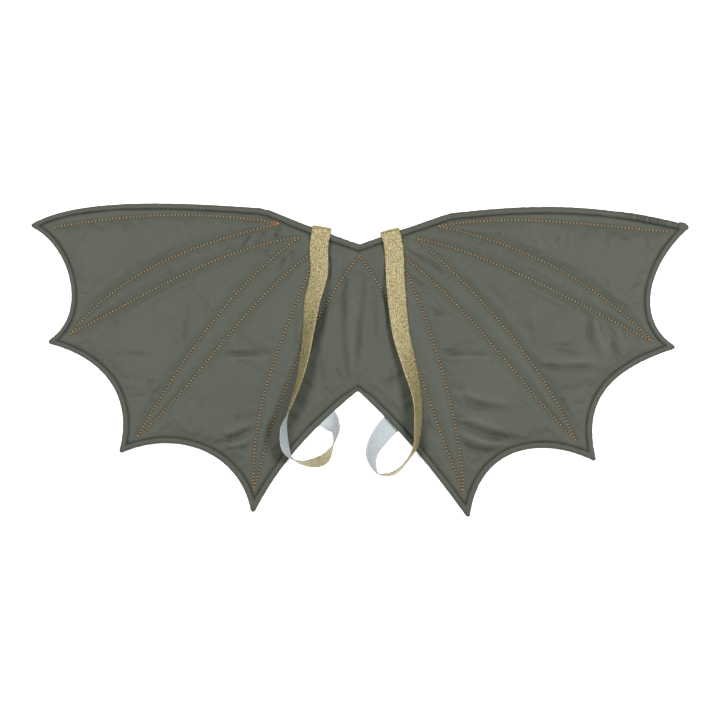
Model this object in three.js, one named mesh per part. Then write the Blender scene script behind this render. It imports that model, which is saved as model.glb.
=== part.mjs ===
// Quilted cloth dragon wings with a corded edge and two elastic arm straps, lying flat.
// Millimetres, +Z up. +X runs along the span and +Y towards the neck edge.
import * as THREE from "three";

// Driving sizes
const wingSpan = 849.1; // between the upper tips, before they are rounded
const wingDepth = 401.4; // from the crest of the top edge to the lower tips
const padThickness = 7.5; // both cloths and the wadding, midway between the seams
const edgeThickness = 3; // the pad where it is sewn to the piping
const stitchThickness = 2.4; // the pad where it is sewn through
const edgeHeight = 3.6; // middle of the pad's edge over the table
const stitchSink = 0.9; // how far a stitch line draws the back cloth up
const edgeReach = 20; // from the piping to where the pad is full
const stitchReach = 15; // from a stitch line to where the pad is full
const backReach = 7; // from a seam to where the back cloth lies flat
const pipingWidth = 7; // the corded roll, seen from above
const pipingThickness = 6.8;
const pipingHeight = 4; // middle of the roll over the table
const tipRadius = 2.8;
const seamGap = 0.3; // between pieces that touch
const strapWidth = 25;
const strapThickness = 1.3;
const strapFoldOut = 5.4; // how far the strap's fold stands past the neck edge
const strapClearance = 0.5; // between a strap and the cloth it lies on
const tableClearance = 0.15; // between a strap and the table
const strapSlope = 0.4; // steepest rise of a strap along its length
const gatherPitch = 7; // of the small gathers in the right piping's short stretch
const gatherDepth = 0.9;

// Spacing of the points on each surface
const edgeStep = 10.5;
const stitchStep = 14;
const flankOffset = 5;
const foldStep = 15;
const gridStep = 22;
const strapStep = 8;
const pipingSides = 8;
const tipArcSteps = 4;

// Corners of the outline: across is a share of wingSpan, up a share of wingDepth.
const corners = {
  neck: { across: 0, up: 0.3693 },
  waist: { across: -0.0031, up: -0.0954 },
  leftShoulder: { across: -0.1437, up: 0.4849 },
  leftTip1: { across: -0.5, up: 0.4278 },
  leftTip2: { across: -0.4766, up: 0.0551 },
  leftTip3: { across: -0.3653, up: -0.3031 },
  leftTip4: { across: -0.1631, up: -0.5039 },
  rightShoulder: { across: 0.1344, up: 0.4685 },
  rightTip1: { across: 0.5, up: 0.4278 },
  rightTip2: { across: 0.4804, up: 0.0398 },
  rightTip3: { across: 0.3562, up: -0.3269 },
  rightTip4: { across: 0.1653, up: -0.5126 },
};

// Edges of each half, neck to waist. pull and bow place each end's handle as shares of the edge's
// chord, along it and in towards the cloth. roll is the piping's width there, as a share of its own.
const edges = {
  left: [
    { from: "neck", to: "leftShoulder", pull: 0.598, bow: 0.018, endPull: 0.337, endBow: 0.007, roll: 1.1 },
    { from: "leftShoulder", to: "leftTip1", pull: 0.229, bow: -0.03, endPull: 0.22, endBow: -0.126,
      roll: 1.1 },
    { from: "leftTip1", to: "leftTip2", pull: 0.169, bow: 0.322, endPull: 0.159, endBow: 0.441, roll: 0.75 },
    { from: "leftTip2", to: "leftTip3", pull: 0.299, bow: 0.296, endPull: 0.304, endBow: 0.369, roll: 0.9 },
    { from: "leftTip3", to: "leftTip4", pull: 0.253, bow: 0.325, endPull: 0.245, endBow: 0.394, roll: 1 },
    { from: "leftTip4", to: "waist", pull: 0.33, bow: 0.088, endPull: 0.33, endBow: 0.065, roll: 1 },
  ],
  right: [
    { from: "neck", to: "rightShoulder", pull: 0.187, bow: -0.006, endPull: 0.779, endBow: 0.001, roll: 1 },
    { from: "rightShoulder", to: "rightTip1", pull: 0.462, bow: -0.08, endPull: 0.315, endBow: -0.056,
      roll: 1.1 },
    { from: "rightTip1", to: "rightTip2", pull: 0.384, bow: 0.361, endPull: 0.138, endBow: 0.36, roll: 0.9 },
    { from: "rightTip2", to: "rightTip3", pull: 0.406, bow: 0.311, endPull: 0.291, endBow: 0.352,
      roll: 0.95 },
    { from: "rightTip3", to: "rightTip4", pull: 0.242, bow: 0.324, endPull: 0.28, endBow: 0.491, roll: 1 },
    { from: "rightTip4", to: "waist", pull: 0.39, bow: 0.03, endPull: 0.38, endBow: 0.042, roll: 0.95 },
  ],
};

// Turning points of the one zigzag of stitching, in sewing order. bow and endBow bend the run that
// leaves each point, as shares of its length, to the left of its way.
const stitchTurns = [
  { across: -0.4606, up: 0.4228, bow: 0.057, endBow: 0.063 },
  { across: -0.1214, up: 0.4352, bow: -0.086, endBow: -0.146 },
  { across: -0.4366, up: 0.0827, bow: 0.027, endBow: 0.09 },
  { across: -0.0914, up: 0.3914, bow: -0.094, endBow: -0.048 },
  { across: -0.3364, up: -0.2456, bow: -0.03, endBow: 0.073 },
  { across: -0.0634, up: 0.3538, bow: -0.037, endBow: -0.108 },
  { across: -0.1605, up: -0.4158, bow: 0.058, endBow: 0.082 },
  { across: -0.0014, up: 0.3328, bow: 0.082, endBow: -0.001 },
  { across: 0.1569, up: -0.424, bow: -0.066, endBow: -0.055 },
  { across: 0.0574, up: 0.3408, bow: 0.065, endBow: -0.007 },
  { across: 0.3245, up: -0.2551, bow: -0.086, endBow: -0.057 },
  { across: 0.0862, up: 0.3886, bow: 0.064, endBow: 0.017 },
  { across: 0.4412, up: 0.0595, bow: -0.108, endBow: -0.099 },
  { across: 0.1178, up: 0.427, bow: 0.066, endBow: 0.019 },
  { across: 0.4627, up: 0.4098, bow: 0, endBow: 0 },
];

// Folds and creases of the top cloth, as soft ridges and dents from one end to the other. wide is a
// share of wingSpan, and rise a share of padThickness, below zero for a dent.
const folds = [
  { across: -0.0219, up: 0.19, toAcross: -0.0179, toUp: -0.05, wide: 0.006, rise: -0.22 },
  { across: 0.003, up: 0.26, toAcross: 0.002, toUp: -0.06, wide: 0.006, rise: -0.2 },
  { across: 0.0169, up: 0.2, toAcross: 0.011, toUp: 0.02, wide: 0.005, rise: -0.18 },
  { across: -0.009, up: 0.22, toAcross: -0.007, toUp: -0.02, wide: 0.008, rise: 0.16 },
  { across: 0.0349, up: 0.16, toAcross: 0.0359, toUp: -0.05, wide: 0.009, rise: 0.14 },
  { across: -0.0468, up: 0.05, toAcross: -0.0409, toUp: -0.08, wide: 0.006, rise: -0.16 },
  { across: -0.3039, up: 0.02, toAcross: -0.2242, toUp: 0.018, wide: 0.004, rise: -0.1 },
  { across: -0.1843, up: 0.018, toAcross: -0.0817, toUp: 0.024, wide: 0.005, rise: -0.16 },
  { across: 0.0747, up: 0.02, toAcross: 0.3089, toUp: 0.018, wide: 0.005, rise: -0.12 },
  { across: 0.2172, up: -0.02, toAcross: 0.274, toUp: -0.024, wide: 0.004, rise: -0.14 },
  { across: -0.1495, up: 0.41, toAcross: -0.1714, toUp: 0.33, wide: 0.006, rise: -0.16 },
  { across: -0.1993, up: -0.19, toAcross: -0.1574, toUp: -0.155, wide: 0.005, rise: -0.2 },
  { across: -0.1893, up: -0.235, toAcross: -0.1445, toUp: -0.23, wide: 0.004, rise: -0.18 },
  { across: 0.1275, up: -0.1, toAcross: 0.1843, toUp: -0.13, wide: 0.007, rise: -0.2 },
  { across: 0.1295, up: -0.185, toAcross: 0.1843, toUp: -0.225, wide: 0.007, rise: -0.26 },
  { across: 0.0947, up: 0.09, toAcross: 0.1246, toUp: 0.065, wide: 0.007, rise: -0.16 },
];

// Each strap from its fold over the neck edge to its seam in the waist notch. turn is how far its gold
// face has turned outwards, in degrees, and onWing is 1 where it lies on the wings and 0 on the table.
const strapRows = {
  left: [
    { across: -0.0569, up: 0.4255, turn: 0, onWing: 1 },
    { across: -0.0619, up: 0.3635, turn: 12, onWing: 1 },
    { across: -0.0619, up: 0.2755, turn: 22, onWing: 1 },
    { across: -0.0715, up: 0.1911, turn: 34, onWing: 1 },
    { across: -0.0776, up: 0.0922, turn: 53, onWing: 1 },
    { across: -0.0843, up: 0, turn: 63, onWing: 1 },
    { across: -0.0926, up: -0.0745, turn: 74, onWing: 1 },
    { across: -0.1067, up: -0.1594, turn: 85, onWing: 1 },
    { across: -0.1146, up: -0.221, turn: 108, onWing: 1 },
    { across: -0.1121, up: -0.279, turn: 111, onWing: 1 },
    { across: -0.1009, up: -0.3117, turn: 90, onWing: 1 },
    { across: -0.0757, up: -0.3282, turn: 64, onWing: 0 },
    { across: -0.0575, up: -0.3205, turn: 55, onWing: 0 },
    { across: -0.0447, up: -0.288, turn: 76, onWing: 0 },
    { across: -0.04, up: -0.2676, turn: 90, onWing: 0 },
    { across: -0.0367, up: -0.2287, turn: 114, onWing: 0 },
    { across: -0.0394, up: -0.209, turn: 137, onWing: 0 },
    { across: -0.048, up: -0.1867, turn: 180, onWing: 0 },
  ],
  right: [
    { across: 0.0445, up: 0.4148, turn: 0, onWing: 1 },
    { across: 0.0505, up: 0.3647, turn: 5, onWing: 1 },
    { across: 0.0541, up: 0.2344, turn: 12, onWing: 1 },
    { across: 0.0617, up: 0.0882, turn: 25, onWing: 1 },
    { across: 0.074, up: -0.0152, turn: 42, onWing: 1 },
    { across: 0.0861, up: -0.1261, turn: 62, onWing: 1 },
    { across: 0.087, up: -0.2005, turn: 66, onWing: 1 },
    { across: 0.083, up: -0.2758, turn: 75, onWing: 1 },
    { across: 0.0687, up: -0.3269, turn: 81, onWing: 1 },
    { across: 0.0514, up: -0.3595, turn: 76, onWing: 0 },
    { across: 0.031, up: -0.3642, turn: 84, onWing: 0 },
    { across: 0.0207, up: -0.3381, turn: 106, onWing: 0 },
    { across: 0.0177, up: -0.2965, turn: 128, onWing: 0 },
    { across: 0.0295, up: -0.2456, turn: 158, onWing: 0 },
    { across: 0.0459, up: -0.2058, turn: 180, onWing: 0 },
  ],
};

// The gathered stretch of the right piping, between the right shoulder and the first tip.
const gathers = { side: "right", edge: 1, start: 0.68, end: 0.93 };

const cloth = new THREE.MeshStandardMaterial({ color: 0x65675f, roughness: 0.75, metalness: 0 });
const pipingCloth = new THREE.MeshStandardMaterial({ color: 0x5f615a, roughness: 0.78, metalness: 0 });
const goldElastic = new THREE.MeshStandardMaterial({ color: 0xbdae7e, roughness: 0.5, metalness: 0.3 });

const place = (row) => new THREE.Vector2(row.across * wingSpan, row.up * wingDepth);
const ease = (share) => Math.sin((Math.PI / 2) * Math.min(Math.max(share, 0), 1));
const leftOf = (way) => new THREE.Vector2(-way.y, way.x);

// A cubic curve between two points whose handles are shares of the chord.
function bentRun(start, end, side, pull, bow, endPull, endBow) {
  const chord = end.clone().sub(start);
  const inward = leftOf(chord).multiplyScalar(side);
  const handle = start.clone().addScaledVector(chord, pull).addScaledVector(inward, bow);
  const endHandle = end.clone().addScaledVector(chord, -endPull).addScaledVector(inward, endBow);
  return new THREE.CubicBezierCurve(start, handle, endHandle, end);
}

// Where two lines meet, each given by a point and a way.
function lineMeeting(point, way, otherPoint, otherWay) {
  const turn = way.cross(otherWay);
  const reach = otherPoint.clone().sub(point).cross(otherWay) / turn;
  return point.clone().addScaledVector(way, reach);
}

// Where two strings of points first cross: the crossing and the segment of each.
function stringsMeeting(one, other) {
  for (let i = one.length - 2; i >= 0; i--) {
    for (let j = 0; j < other.length - 1; j++) {
      const way = one[i + 1].clone().sub(one[i]);
      const otherWay = other[j + 1].clone().sub(other[j]);
      const turn = way.cross(otherWay);
      const between = other[j].clone().sub(one[i]);
      const share = between.cross(otherWay) / turn;
      const otherShare = between.cross(way) / turn;
      if (share >= 0 && share <= 1 && otherShare >= 0 && otherShare <= 1) {
        return { point: one[i].clone().addScaledVector(way, share), on: i, onOther: j };
      }
    }
  }
  return null;
}

// Shares along an edge where its stations lie: evenly spaced, and closer through the gathered stretch,
// where every other station is pinched.
function stationShares(row, length) {
  const steps = Math.max(4, Math.round(length / edgeStep));
  const even = Array.from({ length: steps + 1 }, (_, i) => ({ share: i / steps, pinched: false }));
  if (row !== edges[gathers.side][gathers.edge]) return even;
  const count = 2 * Math.max(2, Math.round((length * (gathers.end - gathers.start)) / gatherPitch));
  const half = (gathers.end - gathers.start) / count;
  const close = Array.from({ length: count + 1 }, (_, i) => ({
    share: gathers.start + i * half, pinched: i % 2 === 1, between: i % 4 !== 0 }));
  const outside = even.filter(({ share }) => share < gathers.start - half || share > gathers.end + half);
  return [...outside, ...close].sort((a, b) => a.share - b.share);
}

// The stations of one half of the edge from neck to waist. Each has its place on the outer edge, and
// the places on the piping's inner side and the pad's edge that belong to it.
function halfEdge(side) {
  const hand = side === "left" ? 1 : -1;
  const runs = edges[side].map((row) => {
    const curve = bentRun(place(corners[row.from]), place(corners[row.to]), hand,
      row.pull, row.bow, row.endPull, row.endBow);
    const stations = stationShares(row, curve.getLength()).map(({ share, pinched, between }) => {
      const way = curve.getTangentAt(share);
      const inward = leftOf(way).multiplyScalar(hand);
      return { outer: curve.getPointAt(share), way, inward, run: share, pinched, between };
    });
    return { row, stations };
  });
  // The piping's width changes along each edge towards its neighbours' width.
  runs.forEach((run, index) => {
    const before = runs[index - 1] ?? run;
    const after = runs[index + 1] ?? run;
    for (const station of run.stations) {
      const toStart = Math.max(0, 0.5 - station.run);
      const toEnd = Math.max(0, station.run - 0.5);
      const middle = 1 - toStart - toEnd;
      const roll = run.row.roll * middle + before.row.roll * toStart + after.row.roll * toEnd;
      station.width = pipingWidth * roll;
    }
  });
  // Both shoulders run on smoothly, so the two edges there share one way.
  const shoulder = runs[0].stations.at(-1);
  const onward = runs[1].stations[0];
  shoulder.inward = shoulder.inward.clone().add(onward.inward).normalize();
  runs[1].stations.shift();
  const offset = (station, extra) =>
    station.outer.clone().addScaledVector(station.inward, station.width + extra);
  for (const run of runs) {
    for (const station of run.stations) {
      station.inner = offset(station, 0);
      station.padEdge = offset(station, seamGap);
    }
  }
  const all = [...runs[0].stations];
  all.push(...runs[1].stations);
  for (let index = 2; index < runs.length; index++) {
    joinAtTip(all, runs[index].stations);
  }
  return all;
}

// Joins the next edge's stations to those before it, round one tip: the inner sides meet in a mitre,
// and the outer edge is rounded.
function joinAtTip(before, after) {
  const corner = after[0].outer;
  const back = before.at(-1).way.clone().negate();
  const on = after[0].way.clone();
  const half = back.angleTo(on) / 2;
  const middleWay = back.clone().add(on).normalize();
  const cut = tipRadius / Math.tan(half);
  const centre = corner.clone().addScaledVector(middleWay, tipRadius / Math.sin(half));
  for (const key of ["inner", "padEdge"]) {
    const tail = before.map((station) => station[key]);
    const head = after.map((station) => station[key]);
    const meeting = stringsMeeting(tail, head);
    before.forEach((station, i) => {
      if (i > meeting.on) station[key] = meeting.point;
    });
    after.forEach((station, j) => {
      if (j <= meeting.onOther) station[key] = meeting.point;
    });
  }
  const tipEnd = { inner: before.at(-1).inner, padEdge: before.at(-1).padEdge, width: before.at(-1).width };
  const keptBefore = before.filter((s) => s.outer.distanceTo(corner) > cut + 1);
  const keptAfter = after.filter((s) => s.outer.distanceTo(corner) > cut + 1);
  const arcStart = corner.clone().addScaledVector(back, cut);
  const arcEnd = corner.clone().addScaledVector(on, cut);
  const startRadius = arcStart.clone().sub(centre);
  const sweep = startRadius.angleTo(arcEnd.clone().sub(centre));
  const hand = Math.sign(startRadius.cross(arcEnd.clone().sub(centre)));
  const arc = [];
  for (let i = 0; i <= tipArcSteps; i++) {
    const spoke = startRadius.clone().rotateAround(new THREE.Vector2(), hand * sweep * (i / tipArcSteps));
    const outer = centre.clone().add(spoke);
    const way = leftOf(spoke).multiplyScalar(hand).normalize();
    arc.push({ ...tipEnd, outer, way, inward: spoke.clone().negate().normalize() });
  }
  before.length = 0;
  before.push(...keptBefore, ...arc, ...keptAfter);
}

// Gives the first and last stations of the two halves their shared mitres at the notches.
function joinHalves(left, right) {
  for (const end of [0, -1]) {
    const one = left.at(end);
    const other = right.at(end);
    for (const key of ["inner", "padEdge"]) {
      const mitre = lineMeeting(one[key], one.way, other[key], other.way);
      one[key] = mitre.clone();
      other[key] = mitre.clone();
    }
  }
}

const halves = { left: halfEdge("left"), right: halfEdge("right") };
joinHalves(halves.left, halves.right);

const wholeEdge = [...halves.left, ...halves.right.slice(1, -1).reverse()];
const outerEdge = wholeEdge.map((station) => station.outer);

// The closed pad edge, without the repeated points of the mitres and the close ones of the gathers.
const padEdge = wholeEdge.filter((station) => !station.between).map((station) => station.padEdge)
  .filter((point, i, all) => point.distanceTo(all.at(i - 1)) > 1);

const stitchRuns = stitchTurns.slice(0, -1).map((turn, i) => {
  const third = 1 / 3;
  return bentRun(place(turn), place(stitchTurns[i + 1]), 1, third, turn.bow, third, turn.endBow);
});
const stitchPaths = stitchRuns.map((run) => run.getSpacedPoints(Math.round(run.getLength() / stitchStep)));

function distanceToSegment(point, start, end) {
  const chord = end.clone().sub(start);
  const along = point.clone().sub(start).dot(chord) / chord.lengthSq();
  const share = Math.min(Math.max(along, 0), 1);
  return point.distanceTo(start.clone().addScaledVector(chord, share));
}

function distanceToString(point, string, closed) {
  const count = closed ? string.length : string.length - 1;
  let least = Infinity;
  for (let i = 0; i < count; i++) {
    least = Math.min(least, distanceToSegment(point, string[i], string[(i + 1) % string.length]));
  }
  return least;
}

function isInside(point, loop) {
  let inside = false;
  loop.forEach((a, i) => {
    const b = loop.at(i - 1);
    const crosses = a.y > point.y !== b.y > point.y;
    if (crosses && point.x < a.x + ((point.y - a.y) / (b.y - a.y)) * (b.x - a.x)) inside = !inside;
  });
  return inside;
}

// Rise or dent of all folds at a point of the top cloth.
function foldRise(point) {
  let rise = 0;
  for (const fold of folds) {
    const start = place(fold);
    const end = place({ across: fold.toAcross, up: fold.toUp });
    const away = distanceToSegment(point, start, end) / (fold.wide * wingSpan);
    rise += fold.rise * padThickness * Math.exp(-away * away);
  }
  return rise;
}

// Heights of the top cloth and the back cloth over the table at a point of the pad.
function padHeights(point) {
  const fromEdge = distanceToString(point, padEdge, true);
  const fromStitch = Math.min(...stitchPaths.map((path) => distanceToString(point, path, false)));
  const edgeTop = edgeHeight + edgeThickness / 2;
  const edgeBottom = edgeHeight - edgeThickness / 2;
  const full = edgeTop + (padThickness - edgeTop) * ease(fromEdge / edgeReach);
  const stitchTop = stitchSink + stitchThickness;
  const puff = stitchTop + (full - stitchTop) * ease(fromStitch / stitchReach);
  const flat = 1 - ease(fromEdge / backReach);
  const drawn = 1 - ease(fromStitch / backReach);
  const bottom = Math.max(edgeBottom * flat, stitchSink * drawn);
  const top = puff + foldRise(point) * ease(fromEdge / edgeReach);
  return { top: Math.max(top, bottom + stitchThickness / 2), bottom };
}

// Points of the pad's mesh: its edge, the stitch lines with a row on each side, the folds, a row
// inside the edge, and an even grid over the rest.
function padPoints() {
  const points = [...padEdge];
  const add = (point, room) => {
    if (!isInside(point, padEdge)) return;
    if (distanceToString(point, padEdge, true) < Math.min(room, flankOffset) * 0.8) return;
    if (points.some((other) => other.distanceTo(point) < room)) return;
    points.push(point);
  };
  const addBeside = (string, step) => {
    for (let i = 0; i < string.length - 1; i++) {
      const way = string[i + 1].clone().sub(string[i]).normalize();
      const middle = string[i].clone().lerp(string[i + 1], 0.5);
      for (const side of [-1, 1]) {
        add(middle.clone().addScaledVector(leftOf(way), side * flankOffset), step);
      }
    }
  };
  for (const path of stitchPaths) path.forEach((point) => add(point, flankOffset * 0.8));
  for (const path of stitchPaths) addBeside(path, flankOffset * 0.8);
  for (const fold of folds) {
    const start = place(fold);
    const end = place({ across: fold.toAcross, up: fold.toUp });
    const steps = Math.max(2, Math.round(start.distanceTo(end) / foldStep));
    const line = Array.from({ length: steps + 1 }, (_, i) => start.clone().lerp(end, i / steps));
    line.forEach((point) => add(point, flankOffset));
    addBeside(line, flankOffset);
  }
  padEdge.forEach((point, i) => {
    const way = padEdge[(i + 1) % padEdge.length].clone().sub(point).normalize();
    add(point.clone().addScaledVector(leftOf(way), flankOffset * 1.6), flankOffset);
  });
  const rowStep = gridStep * Math.sin(Math.PI / 3);
  const rows = Math.ceil(wingDepth / rowStep);
  const columns = Math.ceil(wingSpan / gridStep);
  for (let row = -rows; row <= rows; row++) {
    for (let column = -columns; column <= columns; column++) {
      const shift = row % 2 === 0 ? 0 : gridStep / 2;
      add(new THREE.Vector2(column * gridStep + shift, row * rowStep), gridStep * 0.6);
    }
  }
  return points;
}

// Delaunay triangles of a set of points, by adding one point at a time. A tiny uneven shift keeps
// four points from lying on one circle.
function triangulate(points) {
  const shifted = points.map((p, i) => new THREE.Vector2(
    p.x + 0.002 * Math.sin(12.9 * i), p.y + 0.002 * Math.cos(78.2 * i)));
  const far = 10 * (wingSpan + wingDepth);
  const count = shifted.length;
  shifted.push(new THREE.Vector2(-far, -far), new THREE.Vector2(far, -far), new THREE.Vector2(0, far));
  const withCircle = (a, b, c) => {
    const [A, B, C] = [shifted[a], shifted[b], shifted[c]];
    const twice = 2 * (A.x * (B.y - C.y) + B.x * (C.y - A.y) + C.x * (A.y - B.y));
    const [aa, bb, cc] = [A.lengthSq(), B.lengthSq(), C.lengthSq()];
    const x = (aa * (B.y - C.y) + bb * (C.y - A.y) + cc * (A.y - B.y)) / twice;
    const y = (aa * (C.x - B.x) + bb * (A.x - C.x) + cc * (B.x - A.x)) / twice;
    return { corners: [a, b, c], x, y, reach: (A.x - x) ** 2 + (A.y - y) ** 2 };
  };
  let triangles = [withCircle(count, count + 1, count + 2)];
  for (let i = 0; i < count; i++) {
    const point = shifted[i];
    const hit = [];
    const kept = [];
    for (const t of triangles) {
      ((point.x - t.x) ** 2 + (point.y - t.y) ** 2 < t.reach ? hit : kept).push(t);
    }
    const border = new Map();
    for (const { corners: c } of hit) {
      for (const [a, b] of [[c[0], c[1]], [c[1], c[2]], [c[2], c[0]]]) {
        if (border.has(`${b},${a}`)) border.delete(`${b},${a}`);
        else border.set(`${a},${b}`, [a, b]);
      }
    }
    triangles = kept;
    for (const [a, b] of border.values()) triangles.push(withCircle(a, b, i));
  }
  return triangles.map((t) => t.corners).filter((c) => c.every((index) => index < count));
}

function geometryOf(vertices, triangles) {
  const flat = vertices.flatMap((v) => [v.x, v.y, v.z]);
  const geometry = new THREE.BufferGeometry();
  geometry.setAttribute("position", new THREE.Float32BufferAttribute(flat, 3));
  geometry.setIndex(triangles.flat());
  geometry.computeVertexNormals();
  return geometry;
}

const padPlan = padPoints();
const padFaces = triangulate(padPlan).filter((c) => {
  const middle = c.reduce((sum, index) => sum.add(padPlan[index]), new THREE.Vector2()).divideScalar(3);
  return isInside(middle, padEdge);
});
const padLevels = padPlan.map(padHeights);

// The pad: top cloth, back cloth turned over, and a wall along every edge that only one face has.
function padGeometry() {
  const count = padPlan.length;
  const top = padPlan.map((p, i) => new THREE.Vector3(p.x, p.y, padLevels[i].top));
  const back = padPlan.map((p, i) => new THREE.Vector3(p.x, p.y, padLevels[i].bottom));
  const triangles = padFaces.flatMap(([a, b, c]) => [[a, b, c], [c + count, b + count, a + count]]);
  const open = new Map();
  for (const [a, b, c] of padFaces) {
    for (const [from, to] of [[a, b], [b, c], [c, a]]) {
      if (open.has(`${to},${from}`)) open.delete(`${to},${from}`);
      else open.set(`${from},${to}`, [from, to]);
    }
  }
  for (const [from, to] of open.values()) {
    triangles.push([to, from, from + count], [to, from + count, to + count]);
  }
  return geometryOf([...top, ...back], triangles);
}

// Height of the pad's top mesh at a point, or null outside it.
function padTopAt(point) {
  for (const corner of padFaces) {
    const [a, b, c] = corner.map((index) => padPlan[index]);
    const whole = b.clone().sub(a).cross(c.clone().sub(a));
    const shareA = b.clone().sub(point).cross(c.clone().sub(point)) / whole;
    const shareB = c.clone().sub(point).cross(a.clone().sub(point)) / whole;
    const shareC = 1 - shareA - shareB;
    if (shareA < 0 || shareB < 0 || shareC < 0) continue;
    const [levelA, levelB, levelC] = corner.map((index) => padLevels[index].top);
    return shareA * levelA + shareB * levelB + shareC * levelC;
  }
  return null;
}

// Where each strap passes under the piping into its seam, and how far the roll is raised there.
const strapLevel = tableClearance + strapThickness / 2;
const pipingUnderside = pipingHeight - pipingThickness / 2;
const pipingLift = Math.max(0, strapLevel + strapThickness / 2 + seamGap - pipingUnderside);
const pipingTop = pipingHeight + pipingLift + pipingThickness / 2;

function nearestStation(side, point) {
  return halves[side].reduce((best, station) =>
    station.outer.distanceTo(point) < best.outer.distanceTo(point) ? station : best);
}

// Where a strap's end meets the outline: the nearest place on the edge, its way and its inward way.
function seamOf(side, row) {
  const aim = place(row);
  const { outer, way, inward, width } = nearestStation(side, aim);
  const along = aim.clone().sub(outer).dot(way);
  return { point: outer.clone().addScaledVector(way, along), way, inward, width };
}

const strapSeams = Object.fromEntries(["left", "right"].map((side) => {
  const rows = strapRows[side];
  return [side, { neck: seamOf(side, rows[0]), waist: seamOf(side, rows.at(-1)) }];
}));

function liftAt(point) {
  let share = 0;
  for (const seams of Object.values(strapSeams)) {
    for (const seam of Object.values(seams)) {
      const past = point.distanceTo(seam.point) - strapWidth / 2 - edgeStep;
      share = Math.max(share, 1 - ease(past / strapWidth));
    }
  }
  return pipingLift * share;
}

// Height of whatever a strap lies on at a point: pad, piping or table.
function supportAt(point) {
  if (!isInside(point, outerEdge)) return 0;
  return padTopAt(point) ?? pipingTop;
}

// Joins rings of points, one after the other, into a closed body with flat ends. A ring's repeated
// points make no face.
function closedRun(rings) {
  const vertices = [];
  const numbers = new Map();
  const numberOf = (point) => {
    const key = [point.x, point.y, point.z].map((v) => v.toFixed(3)).join();
    if (!numbers.has(key)) {
      numbers.set(key, vertices.length);
      vertices.push(point);
    }
    return numbers.get(key);
  };
  const indexed = rings.map((ring) => ring.map(numberOf));
  const sides = rings[0].length;
  const triangles = [];
  const addFace = (a, b, c) => {
    if (a !== b && b !== c && c !== a) triangles.push([a, b, c]);
  };
  for (let i = 0; i < rings.length - 1; i++) {
    for (let j = 0; j < sides; j++) {
      const next = (j + 1) % sides;
      addFace(indexed[i][j], indexed[i + 1][j], indexed[i + 1][next]);
      addFace(indexed[i][j], indexed[i + 1][next], indexed[i][next]);
    }
  }
  for (let j = 1; j < sides - 1; j++) {
    addFace(indexed[0][0], indexed[0][j], indexed[0][j + 1]);
    addFace(indexed.at(-1)[0], indexed.at(-1)[j + 1], indexed.at(-1)[j]);
  }
  return geometryOf(vertices, triangles);
}

// The rolled piping of one half: an oval section at each station, from its outer to its inner side.
function pipingGeometry(side) {
  const stations = halves[side];
  const ends = [0, stations.length - 1];
  const rings = stations.map((station, i) => {
    const outer = station.outer.clone();
    const inner = station.inner.clone();
    if (ends.includes(i)) {
      const away = (i === 0 ? 1 : -1) * seamGap * 0.6;
      outer.addScaledVector(station.way, away);
      inner.addScaledVector(station.way, away);
    }
    const pinch = station.pinched ? gatherDepth : 0;
    outer.addScaledVector(station.inward, pinch);
    const ring = [];
    for (let j = 0; j < pipingSides; j++) {
      const angle = (2 * Math.PI * j) / pipingSides;
      const share = (1 - Math.cos(angle)) / 2;
      const plan = outer.clone().lerp(inner, share);
      const rise = (pipingThickness / 2 - pinch) * Math.sin(angle);
      const level = pipingHeight + liftAt(station.outer) + rise;
      ring.push(new THREE.Vector3(plan.x, plan.y, level));
    }
    return side === "left" ? ring : ring.reverse();
  });
  return closedRun(rings);
}

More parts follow.
